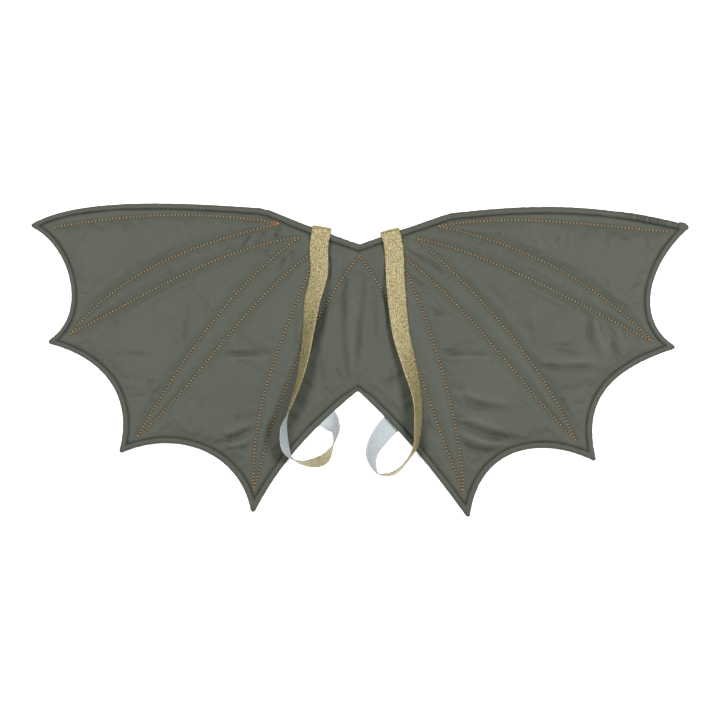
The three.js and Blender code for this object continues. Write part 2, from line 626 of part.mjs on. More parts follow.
// Centre line and width way of one strap, from its seam at the neck to its seam at the waist.
function strapSections(side) {
  const hand = side === "left" ? 1 : -1;
  const rows = strapRows[side];
  const { neck, waist } = strapSeams[side];
  const heading = place(rows[1]).sub(place(rows[0])).normalize();
  const foldRadius = (pipingTop + strapClearance + strapThickness / 2 - strapLevel) / 2;
  const foldOutside = neck.point.clone().addScaledVector(neck.inward, -strapFoldOut + strapThickness / 2);
  const foldTop = foldOutside.clone().addScaledVector(heading, foldRadius);
  const waistInside = waist.point.clone().addScaledVector(waist.inward, waist.width - seamGap);

  // Plan route with the turn as its third value, then evenly spaced fine points.
  const knots = [new THREE.Vector3(foldTop.x, foldTop.y, rows[0].turn)];
  for (const row of rows.slice(1, -1)) {
    const at = place(row);
    knots.push(new THREE.Vector3(at.x, at.y, row.turn));
  }
  knots.push(new THREE.Vector3(waist.point.x, waist.point.y, rows.at(-1).turn));
  knots.push(new THREE.Vector3(waistInside.x, waistInside.y, rows.at(-1).turn));
  const route = new THREE.CatmullRomCurve3(knots, false, "centripetal");
  const lastOnWing = rows.filter((row) => row.onWing === 1).length;
  const planLength = route.getLength();
  const fineCount = Math.round(planLength / 2.5);
  const fine = [];
  for (let i = 0; i <= fineCount; i++) {
    const share = i / fineCount;
    const at = route.getPoint(share);
    const ahead = route.getPoint(Math.min(share + 0.004, 1));
    const behind = route.getPoint(Math.max(share - 0.004, 0));
    const way = new THREE.Vector3(ahead.x - behind.x, ahead.y - behind.y, 0).normalize();
    const turn = THREE.MathUtils.degToRad(at.z);
    const outward = new THREE.Vector3(way.y, -way.x, 0).multiplyScalar(hand);
    const face = new THREE.Vector3(0, 0, Math.cos(turn)).addScaledVector(outward, Math.sin(turn));
    const across = way.clone().cross(face).normalize();
    const onWing = share * (knots.length - 1) < lastOnWing;
    fine.push({ centre: new THREE.Vector3(at.x, at.y, 0), way, across, face, onWing });
  }
  // The cut ends lie along their seams.
  const seamAcross = (seam, across) => {
    const way = new THREE.Vector3(seam.way.x, seam.way.y, 0);
    return way.multiplyScalar(Math.sign(way.dot(across)));
  };
  const last = fine.at(-1);
  last.across = seamAcross(waist, last.across);
  // Lowest height of each section that clears what lies under it.
  const needed = fine.map((section) => {
    let level = -Infinity;
    for (let j = -4; j <= 4; j++) {
      const point = section.centre.clone().addScaledVector(section.across, (j / 8) * strapWidth);
      const support = section.onWing ? supportAt(new THREE.Vector2(point.x, point.y)) : 0;
      const room = support > 0 ? strapClearance : tableClearance;
      level = Math.max(level, support + room - point.z);
    }
    return level + (strapThickness / 2) * Math.abs(section.face.z);
  });
  const spacing = planLength / fineCount;
  const eased = needed.map((_, i) => {
    let level = 0;
    needed.forEach((need, k) => {
      level = Math.max(level, need - strapSlope * spacing * Math.max(0, Math.abs(i - k) - 1));
    });
    return level;
  });
  fine.forEach((section, i) => {
    section.centre.z = eased[i];
  });
  // Under the piping, round the fold and onto the wings.
  const start = fine[0];
  const flatHeading = new THREE.Vector3(heading.x, heading.y, 0);
  const rise = start.centre.z - strapLevel;
  const seamEnd = neck.point.clone().addScaledVector(neck.inward, neck.width - seamGap);
  const hidden = [{
    centre: new THREE.Vector3(seamEnd.x, seamEnd.y, strapLevel),
    across: seamAcross(neck, start.across),
  }];
  const arcSteps = 6;
  for (let i = 0; i < arcSteps; i++) {
    const angle = (Math.PI * i) / arcSteps;
    const back = foldRadius * Math.sin(angle);
    const centre = start.centre.clone().addScaledVector(flatHeading, -back);
    centre.z = strapLevel + (rise * (1 - Math.cos(angle))) / 2;
    hidden.push({ centre, across: start.across });
  }
  const stride = Math.round(strapStep / spacing);
  const visible = fine.filter((_, i) => i % stride === 0 && i < fineCount - stride / 2);
  return [...hidden, ...visible, last];
}

function strapGeometry(side) {
  const sections = strapSections(side);
  const rings = sections.map((section, i) => {
    const ahead = sections[Math.min(i + 1, sections.length - 1)].centre;
    const behind = sections[Math.max(i - 1, 0)].centre;
    const way = ahead.clone().sub(behind).normalize();
    const face = section.across.clone().cross(way).normalize();
    const corner = (acrossSign, faceSign) => section.centre.clone()
      .addScaledVector(section.across, (acrossSign * strapWidth) / 2)
      .addScaledVector(face, (faceSign * strapThickness) / 2);
    return [corner(-1, -1), corner(1, -1), corner(1, 1), corner(-1, 1)];
  });
  return closedRun(rings);
}

function named(name, geometry, material) {
  const mesh = new THREE.Mesh(geometry, material);
  mesh.name = name;
  return mesh;
}

const wings = new THREE.Group();
wings.add(named("wing_panel", padGeometry(), cloth));
for (const side of ["left", "right"]) {
  wings.add(named(`piping_${side}`, pipingGeometry(side), pipingCloth));
  wings.add(named(`strap_${side}`, strapGeometry(side), goldElastic));
}

// The origin is under the middle of the whole object, at the table.
const bounds = new THREE.Box3().setFromObject(wings);
wings.position.set(-(bounds.min.x + bounds.max.x) / 2, -(bounds.min.y + bounds.max.y) / 2, -bounds.min.z);

export default wings;
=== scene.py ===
import math

import bpy
import numpy as np
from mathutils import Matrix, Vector, geometry, kdtree, noise
from mathutils.bvhtree import BVHTree


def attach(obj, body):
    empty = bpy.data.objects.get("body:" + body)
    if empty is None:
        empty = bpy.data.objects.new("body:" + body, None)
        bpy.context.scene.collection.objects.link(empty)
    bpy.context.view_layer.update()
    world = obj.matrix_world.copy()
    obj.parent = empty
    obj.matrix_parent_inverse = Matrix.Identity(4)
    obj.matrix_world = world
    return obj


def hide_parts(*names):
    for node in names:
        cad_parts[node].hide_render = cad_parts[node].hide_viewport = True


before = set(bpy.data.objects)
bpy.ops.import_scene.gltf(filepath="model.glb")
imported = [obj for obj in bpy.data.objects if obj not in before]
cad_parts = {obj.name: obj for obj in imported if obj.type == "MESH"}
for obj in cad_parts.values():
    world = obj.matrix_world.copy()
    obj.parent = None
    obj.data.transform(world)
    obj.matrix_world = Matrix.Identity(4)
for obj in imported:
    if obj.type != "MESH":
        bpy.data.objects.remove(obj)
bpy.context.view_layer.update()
mm = 0.001  # lengths below are millimetres, and a mesh is made in metres


def colour(red, green, blue):
    # a screen colour as the linear one that a shader takes
    def linear(value):
        share = value / 255
        return share / 12.92 if share <= 0.04045 else ((share + 0.055) / 1.055) ** 2.4

    return (linear(red), linear(green), linear(blue), 1.0)


def ease(share):
    return np.sin(np.pi / 2 * np.clip(share, 0, 1))


def bell(share):
    return np.exp(-share * share)


def smooth(share):
    held = np.clip(share, 0, 1)
    return held * held * (3 - 2 * held)


def unit(vector):
    return vector / np.linalg.norm(vector, axis=-1, keepdims=True)


def leftOf(way):
    return np.stack((-way[..., 1], way[..., 0]), axis=-1)


def cross2(one, other):
    return one[..., 0] * other[..., 1] - one[..., 1] * other[..., 0]


def meshPiece(name, points, faces, materials, faceMaterials=None, uvs=None):
    # a named mesh object at the origin, from points in millimetres
    mesh = bpy.data.meshes.new(name)
    mesh.from_pydata((np.asarray(points) * mm).tolist(), [], [list(face) for face in faces])
    mesh.update()
    for material in materials:
        mesh.materials.append(material)
    if faceMaterials is not None:
        mesh.polygons.foreach_set("material_index", faceMaterials)
    mesh.polygons.foreach_set("use_smooth", [True] * len(mesh.polygons))
    if uvs is not None:
        layer = mesh.uv_layers.new(name="UVMap")
        corners = np.empty(len(mesh.loops), dtype=int)
        mesh.loops.foreach_get("vertex_index", corners)
        layer.data.foreach_set("uv", np.asarray(uvs)[corners].ravel())
    piece = bpy.data.objects.new(name, mesh)
    bpy.context.scene.collection.objects.link(piece)
    return piece


def addShade(piece, name, values):
    # one number at each point of the mesh, which a material reads by name
    piece.data.attributes.new(name, "FLOAT", "POINT").data.foreach_set("value", values)


def setFields(item, **fields):
    for name, value in fields.items():
        setattr(item, name, value)
    return item


def lengthsAlong(points):
    # distance along a string of points, from its first to each
    return np.concatenate(([0], np.cumsum(np.linalg.norm(np.diff(points, axis=0), axis=1))))


camera = {"lens": 85, "sensor": 36, "frameWidth": 921.2, "focusHeight": 7}


def makeCamera():
    # straight above, with the neck edge at the top of the picture
    data = bpy.data.cameras.new("camera")
    setFields(data, lens=camera["lens"], sensor_width=camera["sensor"], clip_end=20)
    view = bpy.data.objects.new("camera", data)
    distance = camera["frameWidth"] * camera["lens"] / camera["sensor"]
    view.location = (0, 0, (distance + camera["focusHeight"]) * mm)
    bpy.context.scene.collection.objects.link(view)
    bpy.context.scene.camera = view
    return view


view = makeCamera()
print("camera ready")


# Outline of the wings: corners as shares of span and depth, then each edge from corner to corner, with the
# pull and bow of its first and its last handle as shares of its chord, and how thick its roll is. A pull
# runs along the chord, and a bow runs in towards the cloth.
outline = {
    "span": 849.1,
    "depth": 401.4,
    "centre": np.zeros(2),  # of the outline's own box, found below
    "tipRadius": 2.8,
    "tipClear": 0.5,
    "seamGap": 0.3,
    "tuck": 1.2,  # how far the pad's edge runs in under the piping
    "step": 2.6,
    "padEdgeStep": 1.2,
    "turnStations": 5,  # each side of a shoulder
    "corners": {
        "neck": (0, 0.3693),
        "waist": (-0.0031, -0.0985),
        "leftShoulder": (-0.1437, 0.4849),
        "leftTip1": (-0.5, 0.4278),
        "leftTip2": (-0.4766, 0.0551),
        "leftTip3": (-0.3653, -0.3031),
        "leftTip4": (-0.1631, -0.5039),
        "rightShoulder": (0.1344, 0.4685),
        "rightTip1": (0.5, 0.4278),
        "rightTip2": (0.4804, 0.0398),
        "rightTip3": (0.3578, -0.3282),
        "rightTip4": (0.1653, -0.5126),
    },
    "left": [
        ("neck", "leftShoulder", 0.598, 0.018, 0.337, 0.007, 1.1),
        ("leftShoulder", "leftTip1", 0.229, -0.03, 0.22, -0.126, 0.9),
        ("leftTip1", "leftTip2", 0.169, 0.322, 0.159, 0.441, 0.75),
        ("leftTip2", "leftTip3", 0.299, 0.296, 0.304, 0.369, 0.9),
        ("leftTip3", "leftTip4", 0.253, 0.325, 0.245, 0.394, 1),
        ("leftTip4", "waist", 0.33, 0.088, 0.33, 0.065, 1),
    ],
    "right": [
        ("neck", "rightShoulder", 0.187, -0.006, 0.779, 0.001, 1),
        ("rightShoulder", "rightTip1", 0.462, -0.08, 0.315, -0.056, 1.1),
        ("rightTip1", "rightTip2", 0.384, 0.361, 0.138, 0.36, 0.9),
        ("rightTip2", "rightTip3", 0.406, 0.311, 0.291, 0.352, 0.95),
        ("rightTip3", "rightTip4", 0.242, 0.324, 0.28, 0.491, 1),
        ("rightTip4", "waist", 0.39, 0.03, 0.38, 0.042, 0.95),
    ],
}

piping = {
    "width": 7,
    "thickness": 6.8,
    "height": 4,
    "sides": 14,
    "tipSteps": 7,
    "fuller": 2.0,  # how far the roll swells over its seam
    "endOverlap": 0.05,
    "joinDepth": 0.35,
    "joinHalfWidth": 0.7,
    "gatherPitch": 5.6,
    "gatherDepth": 0.95,
    "gatherSlant": 1.6,
    "gatherPush": 1.2,
    "gatherEase": 0.3,
    "gathers": dict(side="right", edge=1, start=0.69, end=0.945),
    "bulb": dict(  # the blunt tip past a small step
        # seam and seamHalf: strength and reach of the painted shade at the small step's seam
        side="right", edge=1, start=0.947, push=2.0, radius=1.6, seam=0.85, seamHalf=1.1),
    "wrinkle": 0.28,
    "twistLength": 7,
    "bunching": 6,
    "bunchLength": 9,
    "roundness": 0.85,
    "lowest": 0.12,
    # painted shade: width at the seam groove, and strengths and widths on the roll's outer side, in the
    # pleats and at the joins
    "seamShadeWidth": 1.7,
    "flankShade": 0.24,
    "flankShadeWidth": 1.1,
    "pleatShade": 0.62,
    "joinShade": 0.25,
    "joins": {"left": (13, 21.5), "right": (158, 168)},  # distances along the edge from the neck
    "waistThin": 2.4,  # the roll narrows into the waist notch
    "waistReach": 22,
}


def place(shares):
    return np.array((shares[0] * outline["span"], shares[1] * outline["depth"])) - outline["centre"]


def bentRun(start, end, hand, pull, bow, endPull, endBow):
    # the four control points of a cubic whose handles are shares of the chord
    chord = end - start
    inward = leftOf(chord) * hand
    first = start + chord * pull + inward * bow
    last = end - chord * endPull + inward * endBow
    return np.array((start, first, last, end))


def alongRun(run, shares):
    # points and ways at shares of a cubic's length
    def at(t):
        t = np.asarray(t)[:, None]
        left = 1 - t
        return left**3 * run[0] + 3 * left**2 * t * run[1] + 3 * left * t * t * run[2] + t**3 * run[3]

    def wayAt(t):
        t = np.asarray(t)[:, None]
        steps = np.diff(run, axis=0)
        return unit((1 - t) ** 2 * steps[0] + 2 * (1 - t) * t * steps[1] + t * t * steps[2])

    fine = np.linspace(0, 1, 400)
    lengths = lengthsAlong(at(fine))
    where = np.interp(np.asarray(shares) * lengths[-1], lengths, fine)
    return at(where), wayAt(where), lengths[-1]


def stringsMeeting(one, other):
    # where two strings of points cross: the place, and how far along each
    way, otherWay = np.diff(one, axis=0)[:, None], np.diff(other, axis=0)[None]
    between = other[None, :-1] - one[:-1, None]
    turn = cross2(way, otherWay)
    turn = np.where(np.abs(turn) < 1e-9, 1e-9, turn)
    share = cross2(between, otherWay) / turn
    otherShare = cross2(between, way) / turn
    hit = (share >= 0) & (share <= 1) & (otherShare >= 0) & (otherShare <= 1)
    i, j = np.argwhere(hit)[-1]
    return one[i] + way[i, 0] * share[i, j], i, j


def joinAtTip(before, after, blunter=0):
    # the inner sides meet in a mitre, and the outer edge is rounded
    corner = after[0]["outer"]
    back, on = -before[-1]["way"], after[0]["way"]
    half = math.acos(float(np.dot(back, on))) / 2
    radius = outline["tipRadius"] + blunter
    corner = corner - unit(back + on) * blunter * (1 / math.sin(half) - 1)
    cut = radius / math.tan(half)
    centre = corner + unit(back + on) * radius / math.sin(half)
    for key in ("inner", "padEdge"):
        tail = np.array([station[key] for station in before])
        head = np.array([station[key] for station in after])
        mitre, i, j = stringsMeeting(tail, head)
        for station in before[i + 1:] + after[: j + 1]:
            station[key] = mitre
    ends = {key: before[-1][key] for key in ("inner", "padEdge", "width")}
    ends.update(gather=0, fold=0)

    def clear(station):
        return np.linalg.norm(station["outer"] - corner) > cut + outline["tipClear"]

    arc = []
    first, last = corner + back * cut - centre, corner + on * cut - centre
    sweep = math.atan2(float(cross2(first, last)), float(np.dot(first, last)))
    for i in range(piping["tipSteps"] + 1):
        turn = sweep * i / piping["tipSteps"]
        spoke = np.array((first[0] * math.cos(turn) - first[1] * math.sin(turn),
                          first[0] * math.sin(turn) + first[1] * math.cos(turn)))
        way = unit(leftOf(spoke)) * math.copysign(1, sweep)
        arc.append({**ends, "outer": centre + spoke, "way": way, "inward": -unit(spoke)})
    return [s for s in before if clear(s)] + arc + [s for s in after if clear(s)]


def halfEdge(side):
    # stations along one half of the edge, from the neck notch to the waist notch
    hand = 1 if side == "left" else -1
    rows = outline[side]
    rolls = [row[-1] for row in rows]
    gathers = piping["gathers"]
    bulb = piping["bulb"]
    runs = []
    for index, row in enumerate(rows):
        start, end = (place(outline["corners"][name]) for name in row[:2])
        run = bentRun(start, end, hand, *row[2:6])
        length = alongRun(run, [0])[2]
        gathered = side == gathers["side"] and index == gathers["edge"]
        step = outline["step"] if not gathered else piping["gatherPitch"] / 10
        shares = np.linspace(0, 1, round(length / step) + 1)
        points, ways, _ = alongRun(run, shares)
        before = rolls[max(index - 1, 0)]
        after = rolls[min(index + 1, len(rows) - 1)]
        stations = []
        for share, outer, way in zip(shares, points, ways):
            toStart = max(0, 0.5 - share)
            toEnd = max(0, share - 0.5)
            roll = rolls[index] * (1 - toStart - toEnd) + before * toStart + after * toEnd
            inside = gathered and gathers["start"] < share < gathers["end"]
            middle = (share - gathers["start"]) / (gathers["end"] - gathers["start"])
            gather = math.sin(math.pi * middle) ** piping["gatherEase"] if inside else 0
            push = piping["gatherPush"] * gather
            if gathered and share > bulb["start"]:
                push = bulb["push"]
            # where the small step's seam is, for its painted shade
            fold = float(bell((share - bulb["start"]) * length / bulb["seamHalf"])) if gathered else 0
            toWaist = (1 - share) * length if index == len(rows) - 1 else piping["waistReach"]
            thin = piping["waistThin"] * float(smooth(1 - toWaist / piping["waistReach"]))
            stations.append({"outer": outer, "way": way, "inward": leftOf(way) * hand, "push": push,
                             "width": piping["width"] * roll - thin, "gather": gather, "fold": fold})
        runs.append(stations)
    # the two edges at the shoulder turn into each other over a short stretch
    joined = runs[0][:-1] + runs[1]
    at, half = len(runs[0]) - 1, outline["turnStations"]
    for key in ("outer", "way", "inward"):
        was = np.array([station[key] for station in joined])
        for i in range(at - half, at + half + 1):
            near = half + 1 - abs(i - at)
            mean = was[i - near: i + near + 1].mean(axis=0)
            joined[i][key] = mean if key == "outer" else unit(mean)
    runs = [joined] + runs[2:]
    for stations in runs:
        for station in stations:
            width = station["width"]
            station["inner"] = station["outer"] + station["inward"] * (width + piping["fuller"])
            station["padEdge"] = station["outer"] + station["inward"] * (width - outline["tuck"])
            station["outer"] = station["outer"] - station["inward"] * station["push"]
    whole = runs[0]
    for index, stations in enumerate(runs[1:], 1):
        blunt = (side, index) == (piping["bulb"]["side"], piping["bulb"]["edge"])
        whole = joinAtTip(whole, stations, piping["bulb"]["radius"] if blunt else 0)
    return whole


def joinHalves(left, right):
    # the first and last stations of both halves share the mitres at the notches
    for end in (0, -1):
        one, other = left[end], right[end]
        for key in ("inner", "padEdge"):
            reach = cross2(other[key] - one[key], other["way"]) / cross2(one["way"], other["way"])
            one[key] = other[key] = one[key] + one["way"] * reach


def makeEdge():
    both = {"left": halfEdge("left"), "right": halfEdge("right")}
    joinHalves(both["left"], both["right"])
    whole = both["left"] + both["right"][1:-1][::-1]
    return both, whole, np.array([station["outer"] for station in whole])


_, _, outerPoints = makeEdge()
outline["centre"] = (outerPoints.min(axis=0) + outerPoints.max(axis=0)) / 2
halves, wholeEdge, outerPoints = makeEdge()


def thinLoop(points, least):
    kept = [points[0]]
    for point in points[1:]:
        if np.linalg.norm(point - kept[-1]) > least:
            kept.append(point)
    if np.linalg.norm(kept[-1] - kept[0]) < least:
        kept.pop()
    return np.array(kept)


padEdge = thinLoop([station["padEdge"] for station in wholeEdge], outline["padEdgeStep"])
view.location.xy = -outline["centre"] * mm  # the picture's middle in the model's frame
print("outline ready", len(padEdge), "points, centre", outline["centre"].round(2))


# Turning points of the one zigzag of stitching, in sewing order, each with the two bows of the run after it.
stitching = {
    "turns": [
        (-0.4606, 0.4228, 0.057, 0.063),
        (-0.1214, 0.4352, -0.086, -0.146),
        (-0.4366, 0.0827, 0.027, 0.09),
        (-0.0914, 0.3914, -0.094, -0.048),
        (-0.3364, -0.2456, -0.03, 0.073),
        (-0.0634, 0.3538, -0.037, -0.108),
        (-0.1605, -0.4158, 0.058, 0.082),
        (-0.0014, 0.3328, 0.082, -0.001),
        (0.1569, -0.424, -0.066, -0.055),
        (0.0574, 0.3408, 0.065, -0.007),
        (0.3245, -0.2551, -0.086, -0.057),
        (0.0862, 0.3886, 0.064, 0.017),
        (0.4412, 0.0595, -0.108, -0.099),
        (0.1178, 0.427, 0.066, 0.019),
        (0.4627, 0.4098, 0, 0),
    ],
    "fineStep": 0.6,
    "sewnStep": 1.5,
    "pitch": 4.43,
    "length": 4.1,
    "thickness": 2.3,
    "rise": 0.5,
    "bends": 7,
    "sides": 6,
    "taper": 0.5,
    "leastSize": (0.9, 0.88, 0.5),
    "mostSize": (1.0, 1.12, 0.62),
    "liftFront": 0.3,
    "liftBack": 0.1,
    "tack": dict(
        at=(-0.1281, 0.4365), length=6.4, rows=5, apart=1.15, pitch=1.6, overlap=1.15, thickness=1.7),
}


def stitchRun(index, step):
    turn = stitching["turns"][index]
    after = stitching["turns"][index + 1]
    run = bentRun(place(turn), place(after), 1, 1 / 3, turn[2], 1 / 3, turn[3])
    length = alongRun(run, [0])[2]
    return alongRun(run, np.linspace(0, 1, round(length / step) + 1))


stitchCount = len(stitching["turns"]) - 1
stitchPaths = [stitchRun(index, stitching["fineStep"])[0] for index in range(stitchCount)]


def nearestOn(strings):
    # a finder for the nearest of many points along some strings
    points = np.concatenate(strings)
    tree = kdtree.KDTree(len(points))
    for index, (x, y) in enumerate(points):
        tree.insert((x, y, 0), index)
    tree.balance()
    return tree


def distancesTo(tree, points):
    # the distances, and the numbers of the nearest points
    found = [tree.find((x, y, 0)) for x, y in points]
    return np.array([item[2] for item in found]), np.array([item[1] for item in found])


def closedString(loop, step):
    # the loop's points with more between them
    parts = []
    for start, end in zip(loop, np.roll(loop, -1, axis=0)):
        count = max(1, round(np.linalg.norm(end - start) / step))
        parts.append(start + (end - start) * np.linspace(0, 1, count, endpoint=False)[:, None])
    return np.concatenate(parts)


stitchTree = nearestOn(stitchPaths)
edgeTree = nearestOn([closedString(padEdge, stitching["fineStep"])])


def fromSeam(points):
    # distance in from the piping's seam, though the pad's edge runs on under the roll
    return np.maximum(0, distancesTo(edgeTree, points)[0] - outline["tuck"] - outline["seamGap"])


def insideLoop(points, loop):
    inside = np.zeros(len(points), dtype=bool)
    for a, b in zip(loop, np.roll(loop, 1, axis=0)):
        crosses = (a[1] > points[:, 1]) != (b[1] > points[:, 1])
        span = b[1] - a[1] if b[1] != a[1] else 1e-12
        inside ^= crosses & (points[:, 0] < a[0] + (points[:, 1] - a[1]) / span * (b[0] - a[0]))
    return inside


# The quilted pad. Folds are soft dents and ridges of the top cloth, from one end to the other.
# The pad's colour carries painted shade along the dents, painted light along the ridges, and painted shade
# at the stitch lines and the piping's seam.
pad = {
    "thickness": 7.5,
    "edgeThickness": 3,
    "edgeHeight": 3.6,
    "stitchThickness": 3.5,
    "stitchSink": 0.9,
    "edgeReach": 20,
    "stitchReach": 15,
    "backReach": 7,
    "gridStep": 2.8,
    "fineStep": 1.4,  # near the folds
    "foldReach": 1.6,
    "rowStep": 2.2,
    "rowOffset": 1.6,
    "rowCell": 1.1,
    "rowClear": 0.55,  # bare ring round the rows and the edge, in grid steps
    "edgeClear": 0.5,
    "leastThickness": 0.8,
    "grooveDepth": 0.4,
    "backGrooveDepth": 0.2,
    "grooveWidth": 1.7,
    "puckerRise": 0.5,
    "puckerReach": 13,
    "puckerSize": 6.5,
    "swellRise": 0.18,
    "swellSize": (55, 38),
    "fineSwellSize": (17, 32),
    "heldNear": 2,  # cloth this near a seam doesn't swell
    "freeOfStitch": 9,
    "freeOfEdge": 10,
    # painted shade along the stitch lines and beside the piping's roll, and painted shade and light along
    # the folds
    "stitchShade": 0.24,
    "stitchShadeWidth": 2.2,
    "rollShade": 0.85,
    "rollShadeWidth": 1.7,
    "foldDepth": 0.9,
    "foldWidth": 1.35,
    "foldShade": 0.65,
    "foldWaver": 0.45,
    "rollCover": 1.3,  # how far the piping's roll reaches over the pad's edge
    "folds": [  # how high, how wide, then the points it runs through
        (-2.45, 3, (-19.6, 111.9), (-20.9, 76.1), (-21.2, 37.7), (-18.9, 7), (-14.5, -26.3)),
        (-2.08, 3, (5.4, 111.9), (4.2, 76.1), (0.1, 47.9), (-1.5, 18.5), (-6.2, -16.1)),
        (-1.47, 3.8, (-49.1, 10.8), (-48.6, -18.6), (-38.8, -42.9)),
        (-1.02, 2.2, (-31.2, -9.7), (-25.3, -21.2), (-20.2, -30.8)),
        (-1.09, 3, (16.4, 96.5), (20, 62), (20.7, 23.6)),
        (-1.18, 3.2, (40.5, -8.4), (41, -23.7), (30.8, -39.1)),
        (0.91, 3.8, (-8.9, 95.3), (-10.8, 37.7), (-9.5, -13.5)),
        (-0.82, 2, (-317.9, 7.4), (-291.7, 8.4), (-265.4, 7.4)),
        (-1.99, 2.8, (-179.7, 6.3), (-145.2, 9), (-111.9, 9.5)),
        (1.08, 3.2, (-172, 1.3), (-142.6, 3), (-113.2, 3.9)),
        (-0.98, 2.5, (-218, 72.2), (-223.1, 47.9), (-224.4, 21)),
        (-2.13, 3, (-187.9, -107.5), (-159.5, -98.8), (-135.8, -86.2)),
        (-0.88, 2.2, (-164.4, -74.5), (-149, -72.9), (-133.6, -71.1)),
        (-1.22, 2.2, (-172.2, -114.1), (-153.5, -113.6), (-140.9, -110.5)),
        (1.57, 3.2, (-179.4, -112.9), (-159.2, -106.6), (-138.9, -100.2)),
        (1.47, 3.2, (-176, -96.4), (-158.2, -87.6), (-136.3, -81.1)),
        (-0.83, 2.5, (-81.1, 65.8), (-82.1, 37.7), (-82.3, 9.5)),
        (-1.51, 2, (-139.9, 162.8), (-145.7, 152.2), (-152.2, 141.3)),
        (-1.09, 2, (-121.1, 167.4), (-124.6, 161.8), (-128.9, 154.6)),
        (-1.6, 2.1, (-102, 172), (-105.4, 163.1), (-108.2, 153.3)),
        (-1.41, 2.1, (-95.6, 137.5), (-98.2, 126), (-103.1, 113.8)),
        (-1.09, 2.1, (-87.5, 141.8), (-85.9, 133.6), (-85.4, 124.7)),
        (0.9, 2.1, (-134.4, 162.3), (-140, 151.6), (-146.4, 141.3)),
        (-0.54, 2.2, (-115.6, 148.4), (-120.1, 132.4)),
        (-0.82, 2.2, (-97.8, 176.5), (-83.7, 168.2), (-70.9, 164.4)),
        (-0.6, 2.5, (-164.2, 152.2), (-171.9, 137.5)),
        (-0.62, 2.8, (-241, 124.7), (-243.6, 99.1)),
        (-0.58, 2.8, (-196.2, 72.2), (-192.4, 53)),
        (-0.63, 3, (-269.1, -23.7), (-261.5, -49.3)),
        (-0.63, 3, (-205.2, -44.2), (-197.5, -67.2)),
        (-0.54, 2.8, (-313.9, 53), (-310.1, 30)),
        (-0.57, 2.5, (-297.3, 184.2), (-299.9, 165.6)),
        (-1.58, 3, (60.1, 139.9), (94.4, 122.9), (124.2, 99)),
        (1.18, 3, (87.7, 143.9), (72.4, 137.5), (61.2, 157.2)),
        (-1.36, 3, (63.4, 106.8), (76.2, 97.8), (87.7, 92.7)),
        (-1.18, 3, (88.1, 67.7), (99.2, 60.7), (116.6, 58.4)),
        (-1.62, 2.8, (105.6, 10.8), (133.8, 9.3), (163.2, 8.9)),
        (1, 3, (106.8, 3.4), (138.9, 3), (172.2, -0.1)),
        (-2.35, 4, (121, -53), (156.8, -59.9), (193.9, -64.4)),
        (1.45, 4, (126.4, -41.5), (156.8, -50.1), (188.8, -55)),
        (-3.45, 3.8, (125.2, -80.4), (161.9, -94.7), (204.5, -103.6)),
        (2.04, 3.8, (127.4, -72.2), (160.6, -81.3), (187.5, -92.8)),
        (2.64, 3.5, (128, -93.9), (152.6, -104.3), (183.5, -110)),
        (-3.06, 3.5, (130.3, -106.8), (153, -115.9), (181.4, -118.4)),
        (-1.16, 2.8, (87.3, -69.8), (90.4, -82.6), (98.1, -92.8)),
        (-0.91, 2.5, (216.2, 49.6), (220.4, 33.8), (223.8, 18.5)),
        (-0.95, 2.2, (240.4, 20.2), (256.6, 19), (273.6, 18.5)),
        (-0.88, 2.2, (237.4, 15.9), (264.3, 10.3), (290.8, 6.6)),
        (-1.81, 3, (228.5, -7.7), (263, -11.2), (297.5, -9.9)),
        (1.58, 3.8, (229.7, -1.7), (268.1, -2), (305.2, 0.1)),
        (-2.32, 3.5, (292.6, 62), (294.6, 29.1), (302.2, 5.8)),
        (1.9, 3.5, (301, 59.4), (305.2, 33.2), (311.6, 10.8)),
        (-1.81, 3.2, (322.8, 41.5), (324.9, 17.5), (330.4, -0.7)),
        (1.27, 3, (318.8, 35.9), (319.8, 9.9)),
        (1.18, 3, (330, 42.5), (334.7, 27.4), (341.1, 10.8)),
        (-0.91, 2.5, (321.5, 162.7), (335.9, 158), (349.6, 151.6)),
        (0.68, 2.2, (224.6, 169.1), (228.5, 155.4), (233.2, 140)),
        (-0.61, 2.2, (252, 160.5), (254.7, 138.8)),
        (-0.61, 2.2, (157.8, 164.4), (157.8, 147.7)),
        (-0.54, 2.2, (176.1, 162.3), (180, 152.2)),
        (-0.61, 2.2, (364.2, 162.4), (370.9, 138.8)),
        (-0.66, 2.8, (204.3, -51.9), (214.5, -77.5)),
        (-0.62, 2.8, (255.5, -41.6), (263.1, -64.7)),
        (-0.68, 3, (165.8, 97.8), (183.7, 78)),
    ],
    "cloth": dict(grid=4.5, frames=20, slack=-0.012, cap=1.6),
    "clothFields": dict(
        quality=6, mass=0.15, tension_stiffness=20, compression_stiffness=20, shear_stiffness=8,
        bending_stiffness=0.4, use_pressure=True, uniform_pressure_force=3),
}


